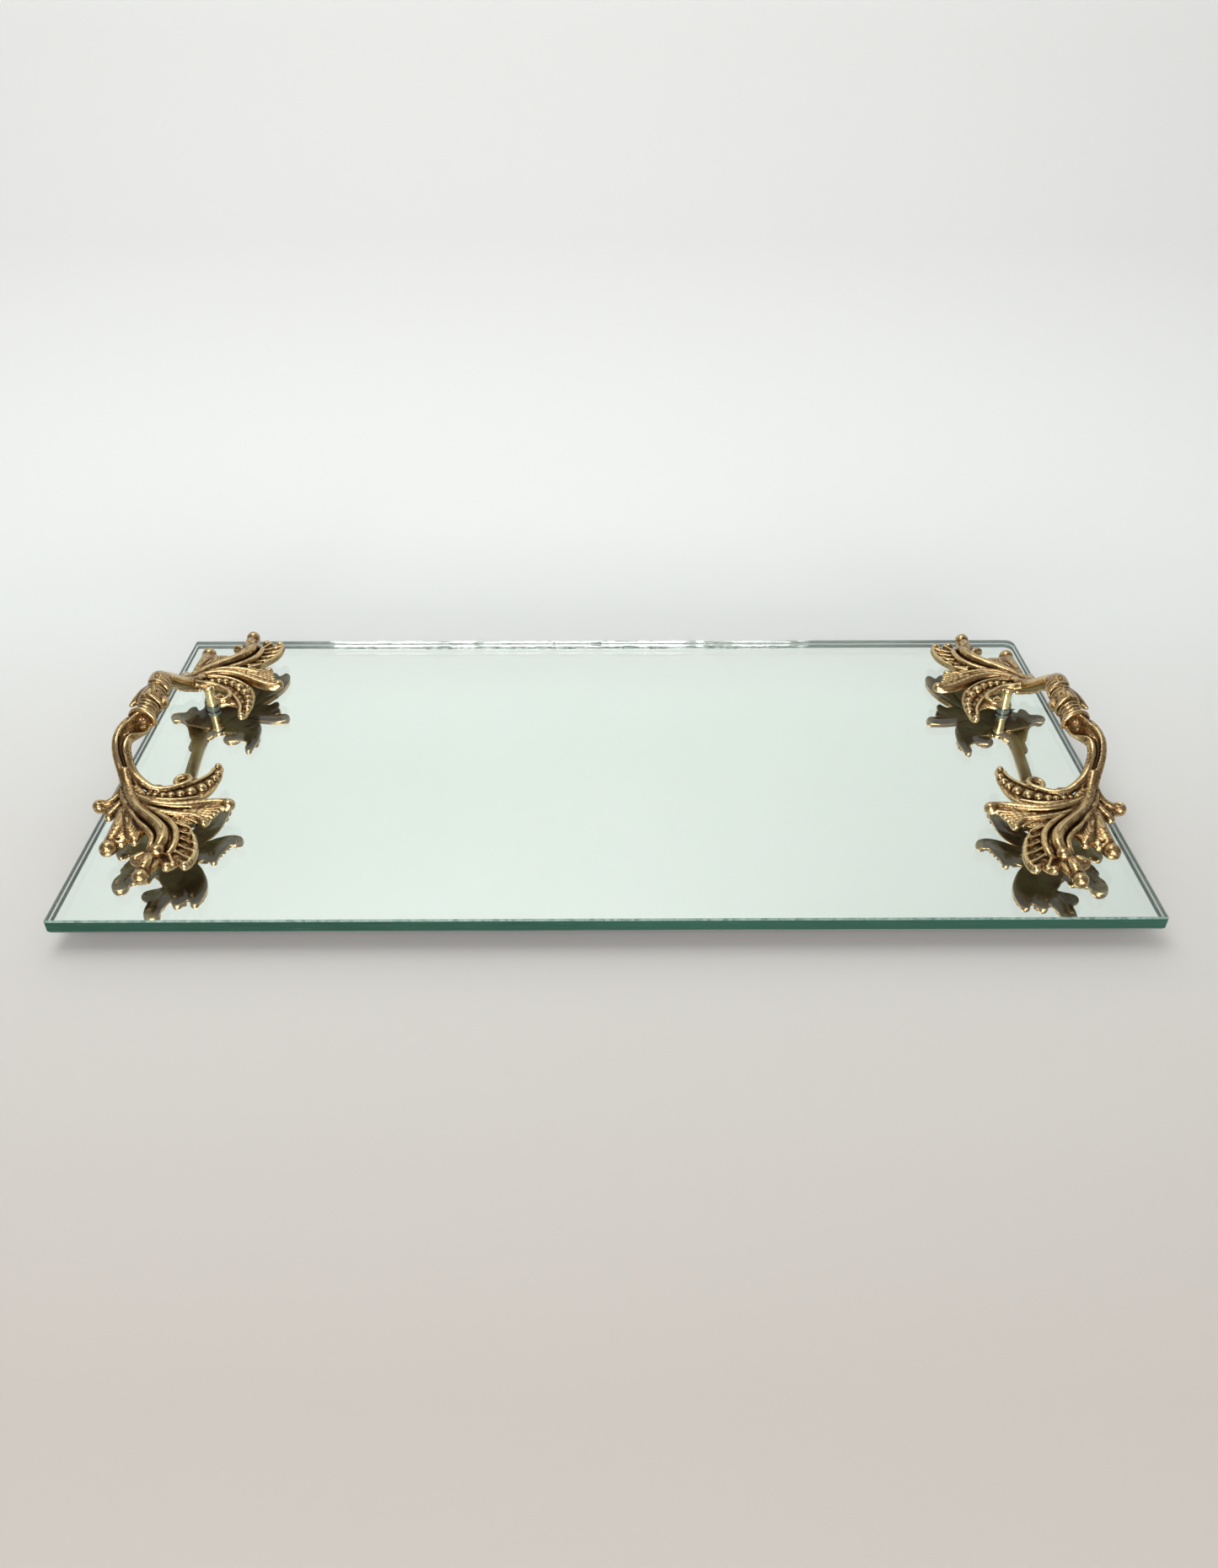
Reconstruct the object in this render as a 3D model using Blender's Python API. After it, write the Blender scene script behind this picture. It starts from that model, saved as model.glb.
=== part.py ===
"""Dresser vanity tray: a plate of mirrored glass on four bumpers, with a cast brass pull at each end.

Metres, +Z up. The origin is on the table, under the middle of the plate; -Y is the front.
A pull is designed in millimetres in its own frame: u outward from the line through its two posts, v along the
tray from the pull's middle, positive towards the back, and h above the glass.
"""

import math

import bmesh
import bpy
from mathutils import Matrix, Vector

MM = 0.001
GAP = 0.3 * MM  # between pieces that touch

# Plate
PLATE_LENGTH = 457.0 * MM
PLATE_DEPTH = 228.6 * MM
GLASS_THICKNESS = 6.0 * MM
CORNER_RADIUS = 2.0 * MM
BACK_RIGHT_CORNER_RADIUS = 5.0 * MM
ARRIS = 0.7 * MM
BACKING_THICKNESS = 0.6 * MM

# Bumpers
FOOT_HEIGHT = 8.5 * MM
FOOT_RADIUS = 8.0 * MM
FOOT_SOLE_RADIUS = 6.5 * MM
FOOT_EASE = 0.8 * MM
FOOT_RIM = 0.6 * MM
FOOT_X = 150.0 * MM
FOOT_Y = 84.0 * MM

# Hardware of one post, from below: screw, steel washer, fibre washer, backing, glass, post, pull
POST_SPACING = 89.0 * MM
POST_HEIGHT = 9.5 * MM
POST_RADIUS = 2.9 * MM
SCREW_RADIUS = 1.75 * MM
SCREW_HEAD_RADIUS = 3.4 * MM
SCREW_HEAD_FACE_RADIUS = 2.0 * MM
SCREW_HEAD_HEIGHT = 2.2 * MM
SCREW_HEAD_RIM = 1.3 * MM
SCREW_TIP_CHAMFER = 0.5 * MM
SCREW_GRIP_IN_PULL = 2.0 * MM
WASHER_RADIUS = 4.8 * MM
WASHER_THICKNESS = 0.8 * MM
FIBRE_WASHER_RADIUS = 5.6 * MM
FIBRE_WASHER_THICKNESS = 1.0 * MM
GLASS_HOLE_RADIUS = 3.2 * MM
BACKING_HOLE_RADIUS = 4.2 * MM
BORE_RADIUS = SCREW_RADIUS + GAP

# Where each pull's middle is, on the line through its posts: the two were drilled a little out of line
PULLS = {"left": (-1, -202.0 * MM, 3.5 * MM), "right": (1, 204.0 * MM, -0.5 * MM)}

BACKING_BOTTOM = FOOT_HEIGHT + GAP
GLASS_BOTTOM = BACKING_BOTTOM + BACKING_THICKNESS + GAP
GLASS_TOP = GLASS_BOTTOM + GLASS_THICKNESS
POST_BOTTOM = GLASS_TOP + GAP
POST_TOP = POST_BOTTOM + POST_HEIGHT
PULL_SEAT = POST_TOP + GAP

# The bail of a pull: (u, v, h) and half thickness. It leans to the back, so the front arm is the longer one.
FRONT_ARM = [
    (9.5, -14, 29, 5.0), (14.5, -22, 28.5, 4.2), (16.6, -27.5, 27, 3.7), (16.4, -32.2, 24, 3.4),
    (14.8, -36, 20.4, 3.2), (12.4, -40.2, 16.8, 3.1), (9.6, -44.8, 14.2, 3.3), (6, -49.5, 12.6, 3.8),
]
BACK_ARM = [
    (13.5, 22, 28.5, 3.6), (12.7, 28.3, 26, 3.3), (10.9, 34.5, 21.3, 3.2), (9.2, 39.6, 17, 3.2),
    (6.6, 45, 13.8, 3.6),
]
GRIP = [
    (13.5, 22, 28.5, 3.8), (13.5, 16, 30, 5.8), (12, 10, 30, 5.6), (12, 4, 30, 6.6), (12, -2, 30, 7.2),
    (12, -8, 29.5, 5.6), (11.5, -12, 29.5, 5.4), (11, -16.5, 29, 6.4),
]

# The leaf cluster at each end of a pull: (u, distance from the pull's middle, h), half width across the leaf
CLUSTER = {
    "crest": [
        (10, 46, 13, 4.5), (5, 52, 12, 6.5), (-1, 57, 11.5, 7.5), (-7, 62, 11, 7), (-11.5, 69, 10.4, 4),
    ],
    "opening_rail": [
        (11.5, 36.5, 18.5, 2), (8.5, 40.6, 15.6, 2.2), (5.2, 42.9, 13.6, 2.2), (1.5, 44.3, 12.3, 2.2),
        (-2, 44.6, 11.6, 2), (-5.5, 43.4, 11.2, 2), (-8.6, 41.2, 10.8, 2), (-11.2, 39, 10.6, 2),
        (-12.4, 36, 10.4, 2),
    ],
    "volute": [
        (-12, 34.4, 10, 2.2), (-9.4, 32.6, 9.8, 2.2), (-6.8, 34.6, 9.6, 2.2), (-7.6, 38, 9.6, 2.2),
        (-10, 36.4, 9, 2.2),
    ],
    "pearled_leaf": [
        (1.5, 48.5, 11.8, 3.6), (-6, 49.5, 11.2, 4.2), (-12.6, 47, 10.6, 4.8), (-18, 41.6, 9.8, 5),
        (-21.2, 34.6, 9, 4.2), (-22.4, 28, 8.6, 3), (-21.8, 22.4, 8.3, 2),
    ],
    "inner_leaf": [
        (5, 50.5, 12, 4), (-3, 56, 11.6, 5), (-11.5, 58.6, 10.8, 5.8), (-19.5, 57, 9.8, 6.2),
        (-26.6, 54.4, 9, 5), (-33.8, 51, 8.3, 2.6),
    ],
    "inner_leaf_lower_tip": [(-17.5, 60, 9.9, 4), (-25.4, 63.6, 8.8, 2.2)],
    "shell": [
        (-12.6, 64, 10.4, 5), (-18.6, 72.5, 9.2, 6), (-22.3, 81, 8.6, 6.6), (-22.5, 88.4, 8.3, 6.4),
        (-21.2, 92, 8.2, 5),
    ],
    "tongue": [
        (11.6, 44.4, 14.6, 3.4), (8.2, 51.5, 13, 3.8), (3, 59, 12.4, 4), (-3, 65, 12.2, 4.2),
        (-8.2, 70, 12, 4.4), (-12, 75.6, 11.6, 4.4), (-13.4, 80, 11.2, 4), (-12.6, 84, 10.2, 3.2),
    ],
    "end_leaf": [(-11.5, 82, 9, 4), (-10.2, 88, 8.8, 5.6), (-9.6, 94, 8.5, 4.4), (-9.4, 99.6, 8.2, 3.4)],
    "end_leaf_side_tip": [(-7, 87.6, 8.8, 3), (-2.8, 88, 8.4, 2)],
    "outer_leaf": [
        (9.6, 54, 11.2, 4.6), (9, 62, 10.3, 4.4), (9, 69, 9.6, 4.2), (9.6, 75.6, 9, 3.8), (9.9, 81, 8.5, 3.4),
    ],
    "outer_leaf_side_tip": [(5.4, 64, 10.4, 4), (2.8, 71, 9.6, 3.8), (0.2, 76.6, 9, 2.2)],
    "spur": [(13, 46.5, 13, 3.6), (16.4, 51, 10.6, 3.4), (19.8, 52, 9.4, 2.8), (23.2, 52.2, 8.6, 2.6)],
    "spur_lower_tip": [(13.4, 55, 10.4, 3), (16.3, 60, 9, 2)],
}
CLUSTER_BALLS = [
    (-12.2, 85, 9.9, 3.2), (-9.4, 99.8, 8.2, 3.5), (9.9, 81.2, 8.5, 3.6), (23.1, 52.2, 8.5, 3.2),
    (16.4, 60.2, 8.7, 2.2), (-33.5, 50.7, 8.2, 2.8), (-25.4, 92.4, 8.1, 2.2), (-18.2, 93.2, 8.1, 2.2),
    (-21.5, 21.9, 8.3, 2),
]
LEAF_HALF_THICKNESS = 1.7
BOSS_RADIUS = 3.8  # the pad on the pull's underside that a post meets
BOSS_BOTTOM = 8.5
BOSS_TOP = 13.0

# Mesh fineness
PATH_STEP = 2.5
TUBE_SIDES = 8
TUBE_END_TAPER = 0.55
VOXEL = 1.2 * MM
PULL_FACES_KEPT = 0.14
TURNED_SIDES = 20


def material(name, color, metallic, roughness):
    """A plain Principled material."""
    made = bpy.data.materials.new(name)
    made.use_nodes = True
    shader = made.node_tree.nodes["Principled BSDF"]
    shader.inputs["Base Color"].default_value = (*color, 1)
    shader.inputs["Metallic"].default_value = metallic
    shader.inputs["Roughness"].default_value = roughness
    return made


def add_object(name, bm, finish, location=(0, 0, 0)):
    """A named object from a bmesh, shaded smooth with sharp edges over 35 degrees."""
    mesh = bpy.data.meshes.new(name)
    bm.to_mesh(mesh)
    bm.free()
    mesh.shade_smooth()
    mesh.set_sharp_from_angle(angle=math.radians(35))
    made = bpy.data.objects.new(name, mesh)
    made.location = location
    bpy.context.scene.collection.objects.link(made)
    made.data.materials.append(finish)
    return made


def add_cylinder(bm, radius, bottom, top, place):
    """An upright cylinder."""
    middle = Matrix.Translation((*place, (bottom + top) / 2))
    size = {"radius1": radius, "radius2": radius, "depth": top - bottom}
    bmesh.ops.create_cone(bm, cap_ends=True, segments=TURNED_SIDES, matrix=middle, **size)


def cutter(name, radius, bottom, top, place):
    """An upright cylinder that Boolean modifiers subtract."""
    bm = bmesh.new()
    add_cylinder(bm, radius, bottom, top, place)
    made = add_object(name, bm, finishes["steel"])
    made.hide_render = True
    made.display_type = "WIRE"
    return made


def cut(target, tool):
    """Subtracts one object from another."""
    boolean = target.modifiers.new(tool.name, "BOOLEAN")
    boolean.operation = "DIFFERENCE"
    boolean.solver = "EXACT"
    boolean.object = tool


def turned(name, profile, finish, place):
    """A turned piece: the closed profile [(radius, height), ...] goes once round the axis at place."""
    bm = bmesh.new()
    corners = [bm.verts.new((radius, 0, height)) for radius, height in profile]
    edges = [bm.edges.new((corners[i], corners[(i + 1) % len(corners)])) for i in range(len(corners))]
    if profile[0][0] == 0:
        bm.edges.remove(edges.pop())
    bmesh.ops.spin(bm, geom=corners + edges, axis=(0, 0, 1), angle=math.tau, steps=TURNED_SIDES)
    bmesh.ops.remove_doubles(bm, verts=bm.verts, dist=1e-6)
    bmesh.ops.recalc_face_normals(bm, faces=bm.faces)
    return add_object(name, bm, finish, (*place, 0))


def ring(name, radius, bottom, top, finish, place):
    """A washer or sleeve round a screw."""
    profile = [(BORE_RADIUS, bottom), (radius, bottom), (radius, top), (BORE_RADIUS, top)]
    return turned(name, profile, finish, place)


def plate(name, bottom, thickness, arris, inset, finish):
    """A slab with the tray's outline, its corners rounded and its long edges eased."""
    half_x = PLATE_LENGTH / 2 - inset
    half_y = PLATE_DEPTH / 2 - inset
    outline = []
    for sign_x, sign_y, start in ((1, 1, 0), (-1, 1, 90), (-1, -1, 180), (1, -1, 270)):
        back_right = sign_x > 0 and sign_y > 0
        radius = BACK_RIGHT_CORNER_RADIUS if back_right else CORNER_RADIUS
        steps = 6 if back_right else 4
        for step in range(steps + 1):
            turn = math.radians(start + 90 * step / steps)
            x = sign_x * (half_x - radius) + radius * math.cos(turn)
            y = sign_y * (half_y - radius) + radius * math.sin(turn)
            outline.append((x, y))
    bm = bmesh.new()
    base = bm.faces.new([bm.verts.new((x, y, bottom)) for x, y in outline])
    top = bmesh.ops.extrude_face_region(bm, geom=[base])["geom"]
    raised = [item for item in top if isinstance(item, bmesh.types.BMVert)]
    bmesh.ops.translate(bm, verts=raised, vec=(0, 0, thickness))
    bmesh.ops.recalc_face_normals(bm, faces=bm.faces)
    if arris:
        rims = [e for e in bm.edges if abs(e.verts[0].co.z - e.verts[1].co.z) < thickness / 2]
        bmesh.ops.bevel(bm, geom=rims, offset=arris, segments=1, affect="EDGES", clamp_overlap=True)
    return add_object(name, bm, finish)


def smooth_path(points, step=PATH_STEP):
    """Points at about the given step on a Catmull-Rom curve through points of any dimension."""
    before_first = [2 * a - b for a, b in zip(points[0], points[1])]
    after_last = [2 * a - b for a, b in zip(points[-1], points[-2])]
    knots = [before_first, *points, after_last]
    path = []
    for i in range(1, len(knots) - 2):
        span = math.dist(knots[i][:3], knots[i + 1][:3])
        count = max(1, round(span / step))
        for k in range(count):
            t = k / count
            path.append([
                (2 * b + (c - a) * t + (2 * a - 5 * b + 4 * c - d) * t**2 + (3 * b - a - 3 * c + d) * t**3) / 2
                for a, b, c, d in zip(*knots[i - 1 : i + 3])
            ])
    path.append(list(points[-1]))
    return path


def add_blade(bm, points, half_thickness=None):
    """A closed tube along points of (u, v, h, half width), flattened to half_thickness if that is given."""
    path = smooth_path(points)
    rings = []
    for i, (u, v, h, width) in enumerate(path):
        before = Vector(path[max(i - 1, 0)][:3])
        after = Vector(path[min(i + 1, len(path) - 1)][:3])
        along = (after - before).normalized()
        across = along.cross(Vector((0, 0, 1))).normalized()
        upward = across.cross(along)
        depth = min(half_thickness or width, width)
        ends = i in (0, len(path) - 1)
        taper = TUBE_END_TAPER if ends else 1
        rings.append([
            bm.verts.new(
                Vector((u, v, h))
                + across * width * taper * math.cos(math.tau * k / TUBE_SIDES)
                + upward * depth * taper * math.sin(math.tau * k / TUBE_SIDES)
            )
            for k in range(TUBE_SIDES)
        ])
    for low, high in zip(rings, rings[1:]):
        for k in range(TUBE_SIDES):
            bm.faces.new((low[k], low[(k + 1) % TUBE_SIDES], high[(k + 1) % TUBE_SIDES], high[k]))
    bm.faces.new(list(reversed(rings[0])))
    bm.faces.new(rings[-1])


def add_cluster(bm, toward):
    """The leaves, balls and post pad at one end of a pull: toward is 1 at the back and -1 at the front."""
    for points in CLUSTER.values():
        add_blade(bm, [(u, toward * v, h, width) for u, v, h, width in points], LEAF_HALF_THICKNESS)
    for u, v, h, radius in CLUSTER_BALLS:
        middle = Matrix.Translation((u, toward * v, h))
        bmesh.ops.create_icosphere(bm, subdivisions=2, radius=radius, matrix=middle)
    add_cylinder(bm, BOSS_RADIUS, BOSS_BOTTOM, BOSS_TOP, (0, toward * POST_SPACING / MM / 2))


def pull(side, outward, x, y):
    """One cast pull, fused from its arms, grip and leaves, with a seat and a screw hole over each post."""
    bm = bmesh.new()
    for points in (FRONT_ARM, GRIP, BACK_ARM):
        add_blade(bm, points)
    for toward in (1, -1):
        add_cluster(bm, toward)
    local_to_tray = Matrix.Translation((x, y, GLASS_TOP)) @ Matrix.Diagonal((outward * MM, MM, MM, 1))
    bmesh.ops.transform(bm, matrix=local_to_tray, verts=bm.verts)
    if outward < 0:
        bmesh.ops.reverse_faces(bm, faces=bm.faces)
    made = add_object(f"handle_{side}", bm, finishes["brass"])
    fuse = made.modifiers.new("fuse", "REMESH")
    fuse.mode = "VOXEL"
    fuse.voxel_size = VOXEL
    fuse.use_smooth_shade = True
    thin = made.modifiers.new("thin", "DECIMATE")
    thin.ratio = PULL_FACES_KEPT
    hole_top = PULL_SEAT + SCREW_GRIP_IN_PULL + GAP
    for place, end in post_places(x, y):
        cut(made, cutter(f"seat_{side}_{end}", (BOSS_RADIUS + 1) * MM, GLASS_TOP, PULL_SEAT, place))
        cut(made, cutter(f"thread_{side}_{end}", BORE_RADIUS, GLASS_TOP, hole_top, place))
    return made


def post_places(x, y):
    """The (x, y) of a pull's two posts, with the end each is at."""
    return [((x, y - POST_SPACING / 2), "front"), ((x, y + POST_SPACING / 2), "back")]


def hardware(side, end, place):
    """The post, screw and washers that hold one end of a pull."""
    tag = f"{side}_{end}"
    ring(f"post_{tag}", POST_RADIUS, POST_BOTTOM, POST_TOP, finishes["bright_brass"], place)
    fibre_top = BACKING_BOTTOM - GAP
    fibre_bottom = fibre_top - FIBRE_WASHER_THICKNESS
    ring(f"fibre_washer_{tag}", FIBRE_WASHER_RADIUS, fibre_bottom, fibre_top, finishes["fibre"], place)
    washer_top = fibre_bottom - GAP
    washer_bottom = washer_top - WASHER_THICKNESS
    ring(f"washer_{tag}", WASHER_RADIUS, washer_bottom, washer_top, finishes["steel"], place)
    head_top = washer_bottom - GAP
    head_bottom = head_top - SCREW_HEAD_HEIGHT
    tip = PULL_SEAT + SCREW_GRIP_IN_PULL
    profile = [
        (0, head_bottom), (SCREW_HEAD_FACE_RADIUS, head_bottom),
        (SCREW_HEAD_RADIUS, head_top - SCREW_HEAD_RIM), (SCREW_HEAD_RADIUS, head_top),
        (SCREW_RADIUS, head_top), (SCREW_RADIUS, tip - SCREW_TIP_CHAMFER),
        (SCREW_RADIUS - SCREW_TIP_CHAMFER, tip), (0, tip),
    ]
    turned(f"screw_{tag}", profile, finishes["steel"], place)


def foot(name, place):
    """A round bumper, wider where it grips the plate and eased where it stands."""
    profile = [
        (0, 0), (FOOT_SOLE_RADIUS - FOOT_EASE, 0), (FOOT_SOLE_RADIUS, FOOT_EASE),
        (FOOT_RADIUS - FOOT_EASE / 2, FOOT_HEIGHT - FOOT_RIM - FOOT_EASE),
        (FOOT_RADIUS, FOOT_HEIGHT - FOOT_RIM), (FOOT_RADIUS, FOOT_HEIGHT), (0, FOOT_HEIGHT),
    ]
    turned(name, profile, finishes["rubber"], place)


for old in list(bpy.data.objects):
    bpy.data.objects.remove(old)

finishes = {
    "glass": material("green_edged_glass", (0.55, 0.72, 0.66), 0, 0.03),
    "silver": material("silvering", (0.86, 0.88, 0.87), 1, 0.05),
    "brass": material("antique_brass", (0.52, 0.36, 0.17), 1, 0.32),
    "bright_brass": material("bright_brass", (0.83, 0.66, 0.32), 1, 0.15),
    "steel": material("zinc_plated_steel", (0.6, 0.6, 0.58), 1, 0.35),
    "fibre": material("red_fibre", (0.25, 0.09, 0.06), 0, 0.8),
    "rubber": material("clear_grey_rubber", (0.55, 0.55, 0.53), 0, 0.5),
}

glass = plate("mirror_glass", GLASS_BOTTOM, GLASS_THICKNESS, ARRIS, 0, finishes["glass"])
backing = plate("silver_backing", BACKING_BOTTOM, BACKING_THICKNESS, 0, ARRIS, finishes["silver"])
for side, (outward, x, y) in PULLS.items():
    pull(side, outward, x, y)
    for place, end in post_places(x, y):
        hardware(side, end, place)
        cut(glass, cutter(f"glass_hole_{side}_{end}", GLASS_HOLE_RADIUS, 0, GLASS_TOP + MM, place))
        cut(backing, cutter(f"backing_hole_{side}_{end}", BACKING_HOLE_RADIUS, 0, GLASS_TOP, place))
for end, sign_y in (("front", -1), ("back", 1)):
    for side, sign_x in (("left", -1), ("right", 1)):
        foot(f"foot_{side}_{end}", (sign_x * FOOT_X, sign_y * FOOT_Y))
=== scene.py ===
"""Looks of the dresser vanity tray: mirrored glass with a cast brass leaf-scroll pull at each end.

The castings are modelled as clay in millimetres: u outward from the line through a pull's two posts, v from
the pull's middle towards the tray's back, and h above the glass. Everything else is in metres.
"""

import math

import bmesh
import bpy
import numpy as np
import openvdb
from mathutils import Matrix, Vector


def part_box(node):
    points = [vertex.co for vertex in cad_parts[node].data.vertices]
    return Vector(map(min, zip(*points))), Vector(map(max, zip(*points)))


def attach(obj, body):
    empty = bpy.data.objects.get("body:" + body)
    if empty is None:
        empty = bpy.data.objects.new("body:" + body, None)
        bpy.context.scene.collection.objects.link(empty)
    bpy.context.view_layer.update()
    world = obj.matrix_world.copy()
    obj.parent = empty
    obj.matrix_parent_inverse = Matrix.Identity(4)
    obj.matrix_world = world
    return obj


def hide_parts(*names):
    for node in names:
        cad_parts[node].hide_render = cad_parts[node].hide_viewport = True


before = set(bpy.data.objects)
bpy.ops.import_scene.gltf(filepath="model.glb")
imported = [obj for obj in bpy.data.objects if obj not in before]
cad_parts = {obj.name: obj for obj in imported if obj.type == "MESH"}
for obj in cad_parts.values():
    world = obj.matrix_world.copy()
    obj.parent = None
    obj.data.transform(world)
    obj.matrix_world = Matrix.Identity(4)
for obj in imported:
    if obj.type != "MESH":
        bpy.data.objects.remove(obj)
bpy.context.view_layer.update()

MM = 0.001
SIDES = {"left": -1, "right": 1}
ENDS = ("front", "back")

glass_low, glass_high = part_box("mirror_glass")
GLASS_TOP = glass_high.z
GLASS_BOTTOM = glass_low.z
CORNER_RADIUS = 1.2 * MM
BACK_RIGHT_CORNER_RADIUS = 5 * MM
ARRIS = 0.7 * MM
LOWER_ARRIS = 0.3 * MM
CHIPPED_FROM = -150 * MM
CHIPPED_TO = 110 * MM
GLASS_HOLE = 3.2 * MM
SILVER_INSET = 1.1 * MM
PAINT_INSET = 0.9 * MM
PAINT_HOLE = 4.2 * MM
POST_WALL = 0.85 * MM
WASHER_HOLE = 2.1 * MM
SCREW_RADIUS = 1.75 * MM
THREAD_PITCH = 0.7 * MM
SLOT_WIDTH = 0.8 * MM
GAP = 0.3 * MM


def middle(node):
    """The middle of a CAD node's box."""
    low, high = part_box(node)
    return (low + high) / 2


# the clay's own sizes, in its millimetres
FINE_STEP = 0.42
CLAY_STEP = FINE_STEP
PULL_SEAT = (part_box("post_left_front")[1].z - GLASS_TOP + GAP) / MM
SCREW_TIP = (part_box("screw_left_front")[1].z - GLASS_TOP) / MM
POST_V = (middle("post_left_back").y - middle("post_left_front").y) / 2 / MM
PAD_RADIUS = 3.6
POST_CLEARANCE = 4.2
SCREW_BORE = 2.05
GRIP_HEIGHT = 29.2
LEAF_DEPTH = 2.3


# ---- camera, light and stage

CAMERA_PLACE = (-2.36 * MM, -469.7 * MM, GLASS_TOP + 329.7 * MM)
CAMERA_PITCH = 36.34  # degrees below the horizon
CAMERA_YAW = 0.44
CAMERA_ROLL = 0.11
CAMERA_LENS = 27.31


def make_camera():
    """The camera looks along +Y and down at the tray."""
    pitch, yaw, roll = (math.radians(angle) for angle in (CAMERA_PITCH, CAMERA_YAW, CAMERA_ROLL))
    ahead = Vector((math.sin(yaw) * math.cos(pitch), math.cos(yaw) * math.cos(pitch), -math.sin(pitch)))
    level = Vector((math.cos(yaw), -math.sin(yaw), 0))
    upward = level.cross(ahead)
    right = level * math.cos(roll) + upward * math.sin(roll)
    up = upward * math.cos(roll) - level * math.sin(roll)
    camera = bpy.data.objects.new("camera", bpy.data.cameras.new("camera"))
    camera.data.lens = CAMERA_LENS
    camera.data.sensor_width = 36
    camera.data.clip_start = 0.01
    turn = Matrix((right, up, -ahead)).transposed().to_4x4()
    camera.matrix_world = Matrix.Translation(CAMERA_PLACE) @ turn
    bpy.context.scene.collection.objects.link(camera)
    bpy.context.scene.camera = camera


def area_light(name, place, target, width, height, power, color=(1, 1, 1)):
    """A softbox that faces target."""
    light = bpy.data.lights.new(name, "AREA")
    light.shape = "RECTANGLE"
    light.size = width
    light.size_y = height
    light.energy = power
    light.color = color
    made = bpy.data.objects.new(name, light)
    made.location = place
    made.rotation_euler = (Vector(target) - Vector(place)).to_track_quat("-Z", "Y").to_euler()
    bpy.context.scene.collection.objects.link(made)


def make_lights():
    """Soft daylight from all round, a broad softbox overhead, and a low and a high window behind the camera.

    The room looks pale itself and in the mirror, though little of the light comes from it.
    """
    world = bpy.data.worlds.new("studio")
    bpy.context.scene.world = world
    world.use_nodes = True
    sky = Nodes(world.node_tree)
    background = sky.tree.nodes["Background"]
    background.inputs["Color"].default_value = (1, 1, 1, 1)
    ray = sky.node("ShaderNodeLightPath").outputs
    seen = sky.math("MAXIMUM", ray["Is Camera Ray"], ray["Is Transmission Ray"])
    sky.feed(background.inputs["Strength"], sky.map_range(seen, 0, 1, 0.3, 0.72))
    area_light("overhead_softbox", (-0.3, 0.25, 1.6), (0, 0.1, 0), 1.3, 0.8, 9.8)
    area_light("high_window", (-0.25, -1.3, 1.0), (0, 0, 0), 1.0, 0.6, 7, (1, 0.99, 0.97))
    area_light("window", (0.1, -1.5, 0.24), (0, 0, 0.05), 1.3, 0.36, 17, (1, 0.985, 0.96))
    bpy.context.scene.view_settings.view_transform = "Standard"


def make_stage():
    """A pale floor that sweeps up into a backdrop, its paper graded with painted shade: darker and warmer
    towards the front, palest where the floor meets the sweep, then two tones up the wall.
    """
    sweep, near, far, wall_height, half_width = 0.5, -2.2, 0.68, 1.9, 2.6
    profile = [(near, 0)]
    for turn in np.radians(np.arange(0, 91, 6)).tolist():
        profile.append((far - sweep * (1 - math.sin(turn)), sweep * (1 - math.cos(turn))))
    profile.append((far, wall_height))
    bm = bmesh.new()
    columns = [[bm.verts.new((x, y, z)) for y, z in profile] for x in (-half_width, half_width)]
    for i in range(len(profile) - 1):
        bm.faces.new((columns[0][i], columns[1][i], columns[1][i + 1], columns[0][i + 1]))
    mesh = bpy.data.meshes.new("floor")
    bm.to_mesh(mesh)
    bm.free()
    mesh.shade_smooth()
    floor = bpy.data.objects.new("floor", mesh)
    floor.location.z = -0.2 * MM
    bpy.context.scene.collection.objects.link(floor)
    paper = Finish("stage_paper")
    near_tone, far_tone = (0.585, 0.54, 0.505), (0.87, 0.89, 0.88)
    wall_tone, high_tone = (0.74, 0.745, 0.74), (0.80, 0.85, 0.82)
    spot = paper.node("ShaderNodeSeparateXYZ", Vector=paper.place())
    # painted shade: the floor darkens and warms towards the front, and the wall takes a duller tone low down
    # and a paler, greener one higher up, for how the light falls on the set
    painted_falloff = paper.ramp(paper.map_range(spot.outputs["Y"], -0.3, 0.18), [(0, near_tone), (1, far_tone)])
    lower_wall = paper.mix(paper.map_range(spot.outputs["Z"], 0.005, 0.14), painted_falloff, wall_tone)
    paper.set("Base Color", paper.mix(paper.map_range(spot.outputs["Z"], 0.27, 0.4), lower_wall, high_tone))
    paper.set("Roughness", 0.85)
    paper.bump(paper.noise(900), 0.08, 0.2 * MM)
    mesh.materials.append(paper.material)


# ---- materials


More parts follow.
